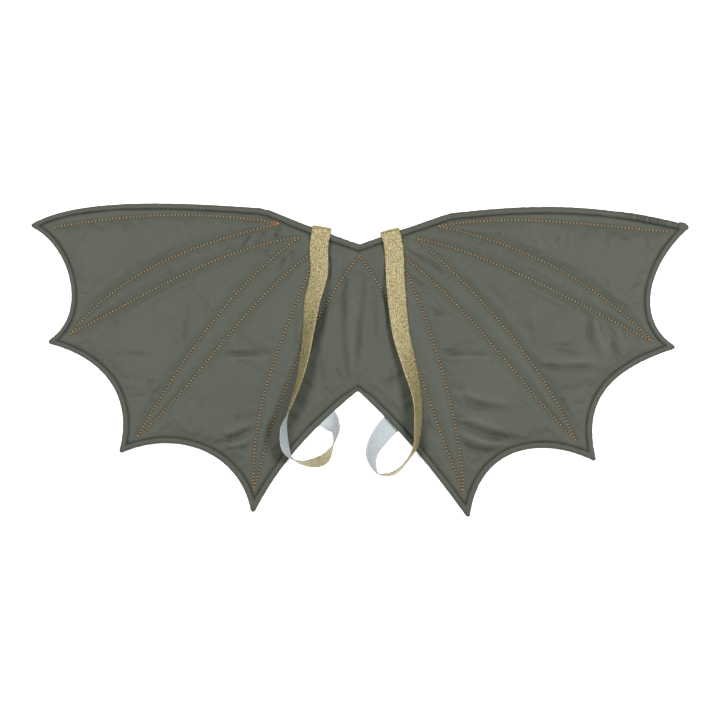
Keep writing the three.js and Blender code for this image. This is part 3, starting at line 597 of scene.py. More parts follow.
def foldRise(points):
    # height and painted shade of all folds at the points (darker in dents, lighter on ridges), and how near
    # the nearest fold is in its own widths
    rise, shade, nearest = np.zeros(len(points)), np.zeros(len(points)), np.full(len(points), 9.0)
    x, y = points.T
    waver = np.column_stack((np.sin(y / 5.1 + 1.7 * np.sin(x / 9)), np.sin(x / 6.3 + 1.7 * np.sin(y / 8))))
    points = points + pad["foldWaver"] * waver
    for number, (high, wide, *knots) in enumerate(pad["folds"]):
        knots = np.array(knots) - outline["centre"]
        lengths = np.linalg.norm(np.diff(knots, axis=0), axis=1)
        whole = lengths.sum()
        before = np.concatenate(([0], np.cumsum(lengths)))
        best = np.full(len(points), 1e9)
        along = np.zeros(len(points))
        for i, start in enumerate(knots[:-1]):
            chord = knots[i + 1] - start
            share = np.clip(((points - start) @ chord) / (chord @ chord), 0, 1)
            away = np.linalg.norm(points - start - share[:, None] * chord, axis=1)
            closer = away < best
            best[closer] = away[closer]
            along[closer] = (before[i] + share * lengths[i])[closer] / whole
        away = best / (wide * pad["foldWidth"])
        strength = (1 - 0.8 * np.abs(2 * along - 1) ** 3) * (0.87 + 0.25 * np.sin(8 * along + 2.1 * number))
        rise += pad["foldDepth"] * high * strength * np.exp(-away * away)
        # painted shade in the dents and painted light on the ridges
        shade -= pad["foldShade"] * high / wide * strength * np.exp(-away * away)
        nearest = np.minimum(nearest, away)
    return rise, shade, nearest


def plainLevels(points, fromEdge, fromStitch):
    # the quilted form without its folds: top cloth and back cloth over the table
    edgeTop = pad["edgeHeight"] + pad["edgeThickness"] / 2
    edgeBottom = pad["edgeHeight"] - pad["edgeThickness"] / 2
    full = edgeTop + (pad["thickness"] - edgeTop) * ease(fromEdge / pad["edgeReach"])
    stitchTop = pad["stitchSink"] + pad["stitchThickness"]
    top = stitchTop + (full - stitchTop) * ease(fromStitch / pad["stitchReach"])
    bottom = np.maximum(edgeBottom * (1 - ease(fromEdge / pad["backReach"])),
                        pad["stitchSink"] * (1 - ease(fromStitch / pad["backReach"])))
    return top, bottom


def clothLift():
    # how far the top cloth settles from the plain form when it is blown up between its seams
    cloth = pad["cloth"]
    grid = cloth["grid"]
    lows, highs = padEdge.min(axis=0), padEdge.max(axis=0)
    columns, rows = (np.ceil((highs - lows) / grid)).astype(int) + 1
    x, y = np.meshgrid(lows[0] + np.arange(columns) * grid, lows[1] + np.arange(rows) * grid)
    plan = np.stack((x.ravel(), y.ravel()), axis=1)
    inside = insideLoop(plan, padEdge)
    fromEdge, fromStitch = fromSeam(plan), distancesTo(stitchTree, plan)[0]
    plain = plainLevels(plan, fromEdge, fromStitch)[0]
    lift = np.zeros(len(plan))
    numbers = -np.ones(len(plan), dtype=int)
    numbers[inside] = np.arange(inside.sum())
    table = numbers.reshape(rows, columns)
    corners = (table[:-1, :-1], table[:-1, 1:], table[1:, 1:], table[1:, :-1])
    quads = np.stack(corners, axis=-1).reshape(-1, 4)
    quads = quads[(quads >= 0).all(axis=1)]
    start = np.column_stack((plan[inside], plain[inside]))
    sheet = meshPiece("clothTrial", start, quads, [])
    pins = sheet.vertex_groups.new(name="sewn")
    sewn = (fromStitch[inside] < grid * 0.6) | (fromEdge[inside] < grid * 1.2)
    pins.add(np.flatnonzero(sewn).tolist(), 1.0, "REPLACE")
    modifier = sheet.modifiers.new("Cloth", "CLOTH")
    settings = setFields(modifier.settings, **pad["clothFields"])
    setFields(settings, shrink_min=cloth["slack"], vertex_group_mass="sewn")
    settings.effector_weights.gravity = 0
    modifier.collision_settings.use_collision = False
    for step in range(1, cloth["frames"] + 1):
        bpy.context.scene.frame_set(step)
    settled = sheet.evaluated_get(bpy.context.evaluated_depsgraph_get()).data
    after = np.empty(len(settled.vertices) * 3)
    settled.vertices.foreach_get("co", after)
    after = after.reshape(-1, 3) / mm
    lift[inside] = np.clip(after[:, 2] - plain[inside], -cloth["cap"], cloth["cap"])
    bpy.data.objects.remove(sheet)
    bpy.context.scene.frame_set(1)
    print("cloth settled, lift", lift.min().round(2), lift.max().round(2))
    return lows, grid, lift.reshape(rows, columns)


def sampleGrid(field, points):
    # smooth value of a grid of numbers at any points, with a cubic through the nearest four each way
    lows, grid, values = field
    where = (points - lows) / grid
    base = np.floor(where).astype(int)
    part = where - base

    def weights(t):
        return np.stack((((-t + 2) * t - 1) * t / 2, ((3 * t - 5) * t * t + 2) / 2,
                         ((-3 * t + 4) * t + 1) * t / 2, (t - 1) * t * t / 2))

    across, up = weights(part[:, 0]), weights(part[:, 1])
    total = np.zeros(len(points))
    for i in range(4):
        row = np.clip(base[:, 1] + i - 1, 0, values.shape[0] - 1)
        for j in range(4):
            column = np.clip(base[:, 0] + j - 1, 0, values.shape[1] - 1)
            total += up[i] * across[j] * values[row, column]
    return total


clothField = clothLift()


def hexGrid(lows, highs, step):
    height = step * math.sin(math.pi / 3)
    return np.array([(lows[0] + (column + 0.5 * (row % 2)) * step, lows[1] + row * height)
                     for row in range(int((highs[1] - lows[1]) / height) + 1)
                     for column in range(int((highs[0] - lows[0]) / step) + 1)])


def padPlan():
    # the pad's edge, three rows along each stitch line, and an even grid between them
    rows = []
    for index in range(len(stitchPaths)):
        points, ways, _ = stitchRun(index, pad["rowStep"])
        sides = leftOf(ways) * pad["rowOffset"]
        rows += [points, points + sides, points - sides]
    rows = np.concatenate(rows)
    cells, kept = set(), []
    for index, (x, y) in enumerate(rows):
        cell = (round(x / pad["rowCell"]), round(y / pad["rowCell"]))
        if cell not in cells:
            cells.add(cell)
            kept.append(index)
    rows = rows[kept]
    step = pad["gridStep"]
    lows, highs = padEdge.min(axis=0), padEdge.max(axis=0)
    grid = hexGrid(lows, highs, step)
    grid = grid[foldRise(grid)[2] > pad["foldReach"]]
    fine = hexGrid(lows, highs, pad["fineStep"])
    fine = fine[foldRise(fine)[2] < pad["foldReach"]]
    grid = np.concatenate((grid, fine))
    grid = grid[distancesTo(stitchTree, grid)[0] > pad["rowOffset"] + step * pad["rowClear"]]
    points = np.concatenate((rows, grid))
    points = points[insideLoop(points, padEdge)]
    points = points[distancesTo(edgeTree, points)[0] > step * pad["edgeClear"]]
    count = len(padEdge)
    edges = [(i, (i + 1) % count) for i in range(count)]
    coords = [Vector(point) for point in np.concatenate((padEdge, points))]
    verts, _, faces, *_ = geometry.delaunay_2d_cdt(coords, edges, [], 1, 1e-6)
    return np.array([tuple(v) for v in verts]), faces


def padLevels(points):
    fromEdge = fromSeam(points)
    fromStitch, along = distancesTo(stitchTree, points)
    top, bottom = plainLevels(points, fromEdge, fromStitch)
    inwards = ease(fromEdge / pad["edgeReach"])
    free = smooth((fromStitch - pad["heldNear"]) / pad["freeOfStitch"])
    free *= smooth((fromEdge - pad["heldNear"]) / pad["freeOfEdge"])
    if clothField is not None:
        top += sampleGrid(clothField, points) * free
    # puckers run out from the stitch lines, and low swells cross the open cloth
    pathPoints = np.concatenate(stitchPaths)[along]
    puckers, swells = np.zeros(len(points)), np.zeros(len(points))
    size, (wide, high), (fineWide, fineHigh) = pad["puckerSize"], pad["swellSize"], pad["fineSwellSize"]
    for i, (x, y) in enumerate(points):
        px, py = pathPoints[i]
        side = 7 if x + y > px + py else 0
        puckers[i] = noise.noise((px / size, py / size, side))
        swells[i] = noise.noise((x / wide, y / high, 3)) + 0.5 * noise.noise((x / fineWide, y / fineHigh, 9))
    near = fromStitch / pad["puckerReach"]
    top += pad["puckerRise"] * puckers * near * np.exp(1 - near * 2.2) * inwards
    top += pad["swellRise"] * swells * free
    top += foldRise(points)[0] * inwards
    groove = bell(fromStitch / pad["grooveWidth"])
    top -= pad["grooveDepth"] * groove
    bottom += pad["backGrooveDepth"] * groove
    top = np.maximum(top, bottom + pad["leastThickness"])
    return top, bottom, fromEdge, fromStitch


def makePad(material):
    plan, faces = padPlan()
    top, bottom, fromEdge, fromStitch = padLevels(plan)
    count = len(plan)
    points = np.concatenate((np.column_stack((plan, top)), np.column_stack((plan, bottom))))
    turned = [tuple(index + count for index in reversed(face)) for face in faces]
    sides = set()
    for face in faces:
        for start, end in zip(face, face[1:] + face[:1]):
            if (end, start) in sides:
                sides.discard((end, start))
            else:
                sides.add((start, end))
    walls = [(end, start, start + count, end + count) for start, end in sorted(sides)]
    piece = meshPiece("wing_pad", points, list(faces) + turned + walls, [material])
    # painted shade along the stitch lines and in the seam beside the piping's roll, on both faces of the pad
    pastRoll = np.maximum(0, fromEdge - pad["rollCover"])
    uneven = 0.85 + 0.15 * np.sin(plan[:, 0] / 11 + 2 * np.sin(plan[:, 1] / 14))
    seam = pad["stitchShade"] * bell(fromStitch / pad["stitchShadeWidth"])
    seam += pad["rollShade"] * uneven * bell(pastRoll / pad["rollShadeWidth"])
    # on the front only: painted shade in the fold dents and painted light on the fold ridges
    paintedFoldShade = np.clip(foldRise(plan)[1], -0.3, 1) * ease(fromEdge / pad["edgeReach"])
    addShade(piece, "paintedShade", np.clip(np.concatenate((seam + paintedFoldShade, seam)), -0.3, 1))
    print("pad", count, "plan points,", len(faces) * 2 + len(walls), "faces")
    return piece


def surfaceOf(piece):
    points = [vertex.co.copy() for vertex in piece.data.vertices]
    return BVHTree.FromPolygons(points, [tuple(face.vertices) for face in piece.data.polygons])


def newGroup(treeKind, name, inputs, outputs):
    # a node group from rows of socket names and kinds, with a value for each input
    group = bpy.data.node_groups.new(name, treeKind)
    for title, kind, value in inputs:
        socket = group.interface.new_socket(name=title, in_out="INPUT", socket_type="NodeSocket" + kind)
        if value is not None:
            socket.default_value = value
    for title, kind in outputs:
        group.interface.new_socket(name=title, in_out="OUTPUT", socket_type="NodeSocket" + kind)
    return group, group.nodes.new("NodeGroupInput").outputs, group.nodes.new("NodeGroupOutput")


def feed(tree, node, inputs):
    # sets or links a node's inputs, by name or number
    for name, value in inputs.items():
        if isinstance(value, bpy.types.NodeSocket):
            tree.links.new(value, node.inputs[name])
        else:
            node.inputs[name].default_value = value
    return node


def addNode(tree, kind, inputs=None, **fields):
    node = setFields(tree.nodes.new(kind), **fields)
    return feed(tree, node, inputs or {})


def addMath(tree, operation, *values):
    return addNode(tree, "ShaderNodeMath", dict(enumerate(values)), operation=operation).outputs[0]


def times(tree, one, other):
    return addMath(tree, "MULTIPLY", one, other)


def plus(tree, one, other):
    return addMath(tree, "ADD", one, other)


def minus(tree, one, other):
    return addMath(tree, "SUBTRACT", one, other)


def addMix(tree, factor, one, other):
    # a mix node's colours are its inputs 6 and 7 and its output 2
    inputs = {0: factor, 6: one, 7: other}
    return addNode(tree, "ShaderNodeMix", inputs, data_type="RGBA").outputs[2]


def addNoise(tree, vector, scale, detail=2.0, roughness=0.5):
    inputs = {"Vector": vector, "Scale": scale, "Detail": detail, "Roughness": roughness}
    return addNode(tree, "ShaderNodeTexNoise", inputs).outputs["Fac"]


def addMapping(tree, vector, scale, rotation=0.0):
    inputs = {"Vector": vector, "Scale": scale, "Rotation": (0, 0, rotation)}
    return addNode(tree, "ShaderNodeMapping", inputs).outputs["Vector"]


def addRange(tree, value, low, high, toLow, toHigh):
    inputs = {"Value": value, "From Min": low, "From Max": high, "To Min": toLow, "To Max": toHigh}
    return addNode(tree, "ShaderNodeMapRange", inputs).outputs["Result"]


def addRamp(tree, value, first, middle, last):
    # colours along a value, each a place and a tone
    ramp = addNode(tree, "ShaderNodeValToRGB", {"Fac": value})
    stops = ramp.color_ramp.elements
    setFields(stops[0], position=first[0], color=first[1])
    setFields(stops[1], position=last[0], color=last[1])
    stops.new(middle[0]).color = middle[1]
    return ramp.outputs["Color"]


def weaveGroup():
    # a fine sateen weave: long floats one way over finer threads the other way
    group, given, result = newGroup(
        "ShaderNodeTree", "sateenWeave",
        [("Vector", "Vector", None), ("Threads", "Float", 2600.0)],
        [("Height", "Float"), ("Slub", "Float")])
    inputs = {"Vector": given["Vector"], "Scale": given["Threads"]}
    scaled = addNode(group, "ShaderNodeVectorMath", inputs, operation="SCALE").outputs["Vector"]
    floats = addNoise(group, addMapping(group, scaled, (1.0, 0.22, 1.0)), 1.0, 1.0)
    threads = addNoise(group, addMapping(group, scaled, (0.3, 1.4, 1.0)), 1.0, 0.0)
    slub = addNoise(group, addMapping(group, scaled, (0.11, 0.004, 0.11)), 1.0, 2.0)
    feed(group, result, {"Height": plus(group, floats, times(group, threads, 0.5)), "Slub": slub})
    return group


def tintGroup():
    # cloth colour with soft patches and thread lines, darkened where painted shade is given and lightened
    # where painted light is given
    group, given, result = newGroup(
        "ShaderNodeTree", "clothTint",
        [("Vector", "Vector", None), ("Colour", "Color", None), ("Slub", "Float", 0.5),
         ("Seam", "Float", 0.0), ("Patches", "Float", 0.12)],
        [("Colour", "Color")])
    patches = addNoise(group, given["Vector"], 9.0, 3.0)
    spread = times(group, minus(group, patches, 0.5), given["Patches"])
    lines = times(group, minus(group, given["Slub"], 0.5), 0.1)
    bright = plus(group, plus(group, spread, lines), 1.0)
    # painted shade darkens the cloth, and painted light (a value below zero) lightens it
    bright = minus(group, bright, times(group, given["Seam"], 0.72))
    hue = addNode(group, "ShaderNodeHueSaturation", {"Color": given["Colour"], "Value": bright})
    feed(group, result, {"Colour": hue.outputs["Color"]})
    return group


weave = weaveGroup()
tint = tintGroup()


def newMaterial(name):
    material = bpy.data.materials.new(name)
    material.use_nodes = True
    return material, material.node_tree, material.node_tree.nodes["Principled BSDF"]


def addGroup(tree, group, **values):
    return addNode(tree, "ShaderNodeGroup", values, node_tree=group).outputs


def addBump(tree, shader, height, strength, distance):
    inputs = {"Height": height, "Strength": strength, "Distance": distance}
    feed(tree, shader, {"Normal": addNode(tree, "ShaderNodeBump", inputs).outputs["Normal"]})


def addAttribute(tree, name):
    return addNode(tree, "ShaderNodeAttribute", attribute_name=name).outputs["Fac"]


clothFinish = {
    "colour": colour(71, 74, 65),
    "roughness": 0.62,
    "sheen": 0.12,
    "sheenRoughness": 0.45,
    "specular": 0.2,
    "patches": 0.14,
    "threads": 2600.0,
    "weaveHeight": 0.05,
    "wrinkles": (28, 85, 28),
    "wrinkleTurn": 0.1,
    "wrinkleHeight": 0.5,
}


def clothMaterial(name):
    # grey-green cotton sateen
    material, tree, shader = newMaterial(name)
    source = addNode(tree, "ShaderNodeTexCoord").outputs["Object"]
    woven = addGroup(tree, weave, Vector=source, Threads=clothFinish["threads"])
    tinted = addGroup(tree, tint, Vector=source, Colour=clothFinish["colour"], Slub=woven["Slub"],
                      Seam=addAttribute(tree, "paintedShade"), Patches=clothFinish["patches"])
    feed(tree, shader, {
        "Base Color": tinted["Colour"],
        "Roughness": clothFinish["roughness"],
        "Sheen Weight": clothFinish["sheen"],
        "Sheen Roughness": clothFinish["sheenRoughness"],
        "Specular IOR Level": clothFinish["specular"],
    })
    turned = addMapping(tree, source, clothFinish["wrinkles"], clothFinish["wrinkleTurn"])
    wrinkles = times(tree, addNoise(tree, turned, 1.0, 3.0, 0.55), clothFinish["wrinkleHeight"])
    relief = plus(tree, wrinkles, times(tree, woven["Height"], clothFinish["weaveHeight"]))
    addBump(tree, shader, relief, 1.0, mm)
    return material


threadFinish = {
    # crown: painted highlight on each stitch's middle; side: the thread's own darker tone; the darkest tone:
    # painted shade where the thread goes down into the cloth
    "crown": colour(150, 127, 68),
    "side": colour(86, 58, 20),
    "paintedHoleShade": colour(26, 18, 10),
    "tackCrown": colour(130, 78, 34),
    "crownEnd": 0.08,
    "sideAt": 0.33,
    "holeFrom": 0.6,
    "drift": 150.0,
    "driftMost": 0.4,
    "fibres": 1500.0,
    "roughness": 0.55,
    "sheen": 0.2,
    "bump": (0.4, 0.0002),
}


def threadMaterial(name, crown):
    # thread with a painted highlight on each stitch's middle and painted shade towards its ends, darkest
    # where it goes down into the cloth
    material, tree, shader = newMaterial(name)
    source = addNode(tree, "ShaderNodeTexCoord").outputs["Object"]
    side = threadFinish["side"]
    thread = addRamp(tree, addAttribute(tree, "stitchEnd"), (threadFinish["crownEnd"], crown),
                     (threadFinish["sideAt"], side), (threadFinish["holeFrom"], threadFinish["paintedHoleShade"]))
    drift = addNoise(tree, source, threadFinish["drift"], 1.0)
    drift = addRange(tree, drift, 0.35, 0.65, 0.0, threadFinish["driftMost"])
    feed(tree, shader, {
        "Base Color": addMix(tree, drift, thread, side),
        "Roughness": threadFinish["roughness"],
        "Sheen Weight": threadFinish["sheen"],
    })
    addBump(tree, shader, addNoise(tree, source, threadFinish["fibres"], 2.0), *threadFinish["bump"])
    return material


elasticFinish = {
    "gold": colour(143, 131, 90),
    # goldDark also gives the painted shade between the knit's columns
    "goldDark": colour(84, 70, 38),
    "goldLight": colour(187, 178, 134),
    "pale": colour(182, 189, 191),
    # paleDark: painted shade in the hollows between the pale ribs
    "paleDark": colour(126, 134, 138),
    "columns": 22,
    "rows": 1.1,
    "paleRibs": 13,
    "grain": (40, 5, 1),
    "goldStops": (0.18, 0.45, 0.85),
    "speckShare": 0.55,
    "grainShare": 0.45,
    "loopRise": 0.2,
    "columnRise": 0.5,
    "goldRoughness": (0.3, 0.62),
    "goldMetallic": 0.2,
    "goldSheen": 0.3,
    "goldBump": (0.6, 0.00035),
    "paleRoughness": 0.8,
    "paleSheen": 0.1,
    "paleBump": (0.5, 0.0004),
}


def alongStrap(tree):
    # the share across the strap, the length along it in widths, and both in one
    source = addNode(tree, "ShaderNodeTexCoord").outputs["UV"]
    split = addNode(tree, "ShaderNodeSeparateXYZ", {0: source})
    return split.outputs["X"], split.outputs["Y"], source


def knitMaterial():
    # knitted gold yarn: columns of small loops, each loop its own brightness, with painted shade between the
    # columns
    material, tree, shader = newMaterial("goldKnit")
    x, y, source = alongStrap(tree)
    across = times(tree, x, elasticFinish["columns"])
    along = times(tree, y, elasticFinish["columns"] * elasticFinish["rows"])
    half = addMath(tree, "ABSOLUTE", minus(tree, addMath(tree, "FRACT", across), 0.5))
    slanted = plus(tree, along, half)
    loops = addMath(tree, "SINE", times(tree, slanted, 2 * math.pi))
    ribs = addMath(tree, "COSINE", times(tree, across, math.pi))
    cell = {"X": addMath(tree, "FLOOR", across), "Y": addMath(tree, "FLOOR", slanted)}
    cell = addNode(tree, "ShaderNodeCombineXYZ", cell).outputs[0]
    speck = addNode(tree, "ShaderNodeTexWhiteNoise", {"Vector": cell}).outputs["Value"]
    grain = addNoise(tree, addMapping(tree, source, elasticFinish["grain"]), 1.0, 2.0)
    speckPart = times(tree, speck, elasticFinish["speckShare"])
    mixed = plus(tree, speckPart, times(tree, grain, elasticFinish["grainShare"]))
    tones = [elasticFinish[name] for name in ("goldDark", "gold", "goldLight")]
    gold = addRamp(tree, mixed, *zip(elasticFinish["goldStops"], tones))
    # painted shade in the grooves between the columns
    paintedRibShade = addRange(tree, ribs, 0.2, 1.0, 0.0, 0.5)
    feed(tree, shader, {
        "Base Color": addMix(tree, paintedRibShade, gold, elasticFinish["goldDark"]),
        "Roughness": addRange(tree, speck, 0.0, 1.0, *elasticFinish["goldRoughness"]),
        "Metallic": elasticFinish["goldMetallic"],
        "Sheen Weight": elasticFinish["goldSheen"],
        "Sheen Tint": elasticFinish["goldLight"],
    })
    raised = times(tree, loops, elasticFinish["loopRise"])
    height = minus(tree, raised, times(tree, ribs, elasticFinish["columnRise"]))
    addBump(tree, shader, height, *elasticFinish["goldBump"])
    return material


def ribbedMaterial():
    # the plain inner side of the elastic, with fine ribs along it and painted shade in the hollows between
    # them
    material, tree, shader = newMaterial("paleRibbed")
    x, y, _ = alongStrap(tree)
    turns = 2 * math.pi * elasticFinish["paleRibs"]
    ribs = addMath(tree, "COSINE", times(tree, x, turns))
    picks = addMath(tree, "SINE", times(tree, y, turns))
    height = plus(tree, times(tree, ribs, 0.6), times(tree, picks, 0.4))
    # painted shade in the hollows between the ribs
    paintedRibShade = addRange(tree, height, -0.9, 0.6, 0.9, 0.0)
    feed(tree, shader, {
        "Base Color": addMix(tree, paintedRibShade, elasticFinish["pale"], elasticFinish["paleDark"]),
        "Roughness": elasticFinish["paleRoughness"],
        "Sheen Weight": elasticFinish["paleSheen"],
    })
    addBump(tree, shader, height, *elasticFinish["paleBump"])
    return material


padCloth = clothMaterial("wingCloth")
pipingCloth = clothMaterial("pipingCloth")
mustardThread = threadMaterial("mustardThread", threadFinish["crown"])
tackThread = threadMaterial("tackThread", threadFinish["tackCrown"])
goldKnit = knitMaterial()
paleRibbed = ribbedMaterial()
print("materials ready")

wingPad = makePad(padCloth)
padSurface = surfaceOf(wingPad)


# Each strap from its fold over the neck edge to its seam in the waist notch. turn is how far its gold
# face has turned outwards, in degrees.
straps = {
    "width": 25,
    "thickness": 1.3,
    "foldOut": 5.4,
    "clearance": 0.4,
    "tableClearance": 0.15,
    "slope": 0.4,
    "step": 1.6,
    "columns": 14,
    "edgeThickness": 0.45,  # share of the full thickness
    "waver": 0.25,
    "crown": 0.35,
    "sink": 0.2,
    "lowest": 0.02,
    "supportSamples": 13,
    "foldSteps": 14,
    "underSteps": 4,
    "left": {
        "onWing": 11,
        "rows": [
            (-0.0569, 0.4255, 0), (-0.0619, 0.3635, 12), (-0.0619, 0.2755, 22), (-0.0715, 0.1911, 34),
            (-0.0776, 0.0922, 53), (-0.0843, 0, 63), (-0.0926, -0.0745, 74), (-0.1067, -0.1594, 85),
            (-0.1146, -0.221, 108), (-0.1121, -0.279, 111), (-0.1009, -0.3117, 90), (-0.0757, -0.3282, 64),
            (-0.0575, -0.3205, 55), (-0.0447, -0.288, 76), (-0.04, -0.2676, 90), (-0.0367, -0.2287, 114),
            (-0.0394, -0.209, 137), (-0.048, -0.1867, 180),
        ],
    },
    "right": {
        "onWing": 9,
        "rows": [
            (0.0445, 0.4148, 0), (0.0505, 0.3647, 5), (0.0541, 0.2344, 12), (0.0617, 0.0882, 25),
            (0.074, -0.0152, 42), (0.0861, -0.1261, 62), (0.087, -0.2005, 66), (0.083, -0.2758, 75),
            (0.0687, -0.3269, 81), (0.0514, -0.3595, 76), (0.031, -0.3642, 84), (0.0207, -0.3381, 106),
            (0.0177, -0.2965, 128), (0.0295, -0.2456, 158), (0.0459, -0.2058, 180),
        ],
    },
}

strapLevel = straps["tableClearance"] + straps["thickness"] / 2
strapTop = strapLevel + straps["thickness"] / 2
pipingLift = max(0, strapTop + outline["seamGap"] - piping["height"] + piping["thickness"] / 2)
pipingTop = piping["height"] + pipingLift + piping["thickness"] / 2


def seamOf(side, row):
    # where a strap's end meets the outline: the place, the edge's way and its inward way
    aim = place(row)
    station = min(halves[side], key=lambda s: np.linalg.norm(s["outer"] - aim))
    along = (aim - station["outer"]) @ station["way"]
    return {"point": station["outer"] + station["way"] * along, "way": station["way"],
            "inward": station["inward"], "width": station["width"]}


strapSeams = {}
for side in ("left", "right"):
    ends = {"neck": straps[side]["rows"][0], "waist": straps[side]["rows"][-1]}
    strapSeams[side] = {name: seamOf(side, row) for name, row in ends.items()}


def liftAt(point):
    share = 0.0
    for seams in strapSeams.values():
        for seam in seams.values():
            past = np.linalg.norm(point - seam["point"]) - straps["width"] / 2 - 4
            share = max(share, 1 - float(ease(past / straps["width"])))
    return pipingLift * share


def closedRings(rings):
    # faces between rings of point numbers, and flat ends
    faces = []
    count = len(rings[0])
    for one, other in zip(rings[:-1], rings[1:]):
        for j in range(count):
            k = (j + 1) % count
            corner = []
            for index in (one[j], one[k], other[k], other[j]):
                if index not in corner:
                    corner.append(index)
            if len(corner) > 2:
                faces.append(tuple(corner))
    faces.append(tuple(reversed(rings[0])))
    faces.append(tuple(rings[-1]))
    return faces


def makePiping(side, material):
    # the corded roll of one half: round in section, with its joins, gathers and small twists
    stations = halves[side]
    half = piping["thickness"] / 2
    points, rings, seen, seams = [], [], {}, []
    travelled = 0.0
    for i, station in enumerate(stations):
        if i:
            travelled += float(np.linalg.norm(station["outer"] - stations[i - 1]["outer"]))
        outer, inner = station["outer"].copy(), station["inner"].copy()
        if i in (0, len(stations) - 1):
            away = (-1 if i == 0 else 1) * piping["endOverlap"]
            outer += station["way"] * away
            inner += station["way"] * away
        join = sum(float(bell((travelled - at) / piping["joinHalfWidth"])) for at in piping["joins"][side])
        lift = liftAt(station["outer"])
        ring = []
        for j in range(piping["sides"]):
            angle = 2 * math.pi * j / piping["sides"]
            cos, sin = math.cos(angle), math.sin(angle)
            turned = travelled / piping["twistLength"] + 0.8 * cos
            twist = noise.noise((turned, 0.8 * sin, 5 if side == "left" else 11))
            slanted = travelled + piping["gatherSlant"] * cos
            bunch = piping["bunching"] * noise.noise((slanted / piping["bunchLength"], 3, 0))
            wave = math.sin(2 * math.pi * slanted / piping["gatherPitch"] + bunch)
            pleat = (0.5 - 0.5 * wave) ** 1.5
            pinch = station["gather"] * piping["gatherDepth"] * pleat * (0.3 + 0.7 * abs(sin))
            wrinkle = piping["wrinkle"] * twist - piping["joinDepth"] * join - pinch
            radius = (half + wrinkle) / half
            out = math.copysign(abs(cos) ** piping["roundness"], cos)
            share = 0.5 - 0.5 * out * (radius if abs(angle - math.pi) > 1 else 1)
            plan = outer + (inner - outer) * share
            level = piping["height"] + lift + half * radius * sin
            key = (round(plan[0], 2), round(plan[1], 2), round(level, 2))
            if key not in seen:
                seen[key] = len(points)
                points.append((plan[0], plan[1], max(level, piping["lowest"])))
                # painted shade: in the seam groove on the roll's inner side, on the roll's outer side, in
                # the pleats of the gathers, at the joins and at the small step before the bulb
                seam = bell((1 - share) * station["width"] / piping["seamShadeWidth"])
                seam *= 0.8 + 0.4 * noise.noise((travelled / 16, 2, 0))
                paintedFlankShade = piping["flankShade"] * bell(share * station["width"] / piping["flankShadeWidth"])
                paintedFoldShade = piping["bulb"]["seam"] * station["fold"]
                paintedFoldShade += piping["pleatShade"] * station["gather"] * pleat
                seams.append(seam + paintedFlankShade + paintedFoldShade + piping["joinShade"] * join)
            ring.append(seen[key])
        rings.append(ring if side == "right" else ring[::-1])
    piece = meshPiece("edge_piping_" + side, points, closedRings(rings), [material])
    addShade(piece, "paintedShade", np.clip(seams, 0, 1))
    print("piping", side, len(piece.data.polygons), "faces,", round(travelled), "mm long")
    return piece


pipings = {side: makePiping(side, pipingCloth) for side in ("left", "right")}
pipingSurfaces = [surfaceOf(piece) for piece in pipings.values()]


def supportAt(x, y):
    # height of whatever a strap lies on: pad, piping or table
    heights = [0.0]
    for surface in [padSurface] + pipingSurfaces:
        hit = surface.ray_cast(Vector((x * mm, y * mm, 0.1)), Vector((0, 0, -1)))[0]
        if hit is not None:
            heights.append(hit.z / mm)
    return max(heights)


def smoothCurve(knots, count):
    # points evenly along a centripetal Catmull-Rom curve through the knots, with the knot share of each
    knots = np.vstack((2 * knots[0] - knots[1], knots, 2 * knots[-1] - knots[-2]))
    gaps = np.sqrt(np.linalg.norm(np.diff(knots, axis=0), axis=1))
    fine, shares = [], []
    for i in range(1, len(knots) - 2):
        p, g = knots[i - 1: i + 3], gaps[i - 1: i + 2]
        t0, t1, t2, t3 = 0, g[0], g[0] + g[1], g[0] + g[1] + g[2]
        t = np.linspace(t1, t2, 40, endpoint=i == len(knots) - 3)[:, None]
        a1 = (t1 - t) / (t1 - t0) * p[0] + (t - t0) / (t1 - t0) * p[1]
        a2 = (t2 - t) / (t2 - t1) * p[1] + (t - t1) / (t2 - t1) * p[2]
        a3 = (t3 - t) / (t3 - t2) * p[2] + (t - t2) / (t3 - t2) * p[3]
        b1 = (t2 - t) / (t2 - t0) * a1 + (t - t0) / (t2 - t0) * a2
        b2 = (t3 - t) / (t3 - t1) * a2 + (t - t1) / (t3 - t1) * a3
        fine.append((t2 - t) / (t2 - t1) * b1 + (t - t1) / (t2 - t1) * b2)
        shares.append(i - 1 + (t[:, 0] - t1) / (t2 - t1))
    fine, shares = np.concatenate(fine), np.concatenate(shares)
    lengths = lengthsAlong(fine[:, :2])
    where = np.linspace(0, lengths[-1], count)
    even = np.column_stack([np.interp(where, lengths, fine[:, k]) for k in range(3)])
    return even, np.interp(where, lengths, shares), lengths[-1]


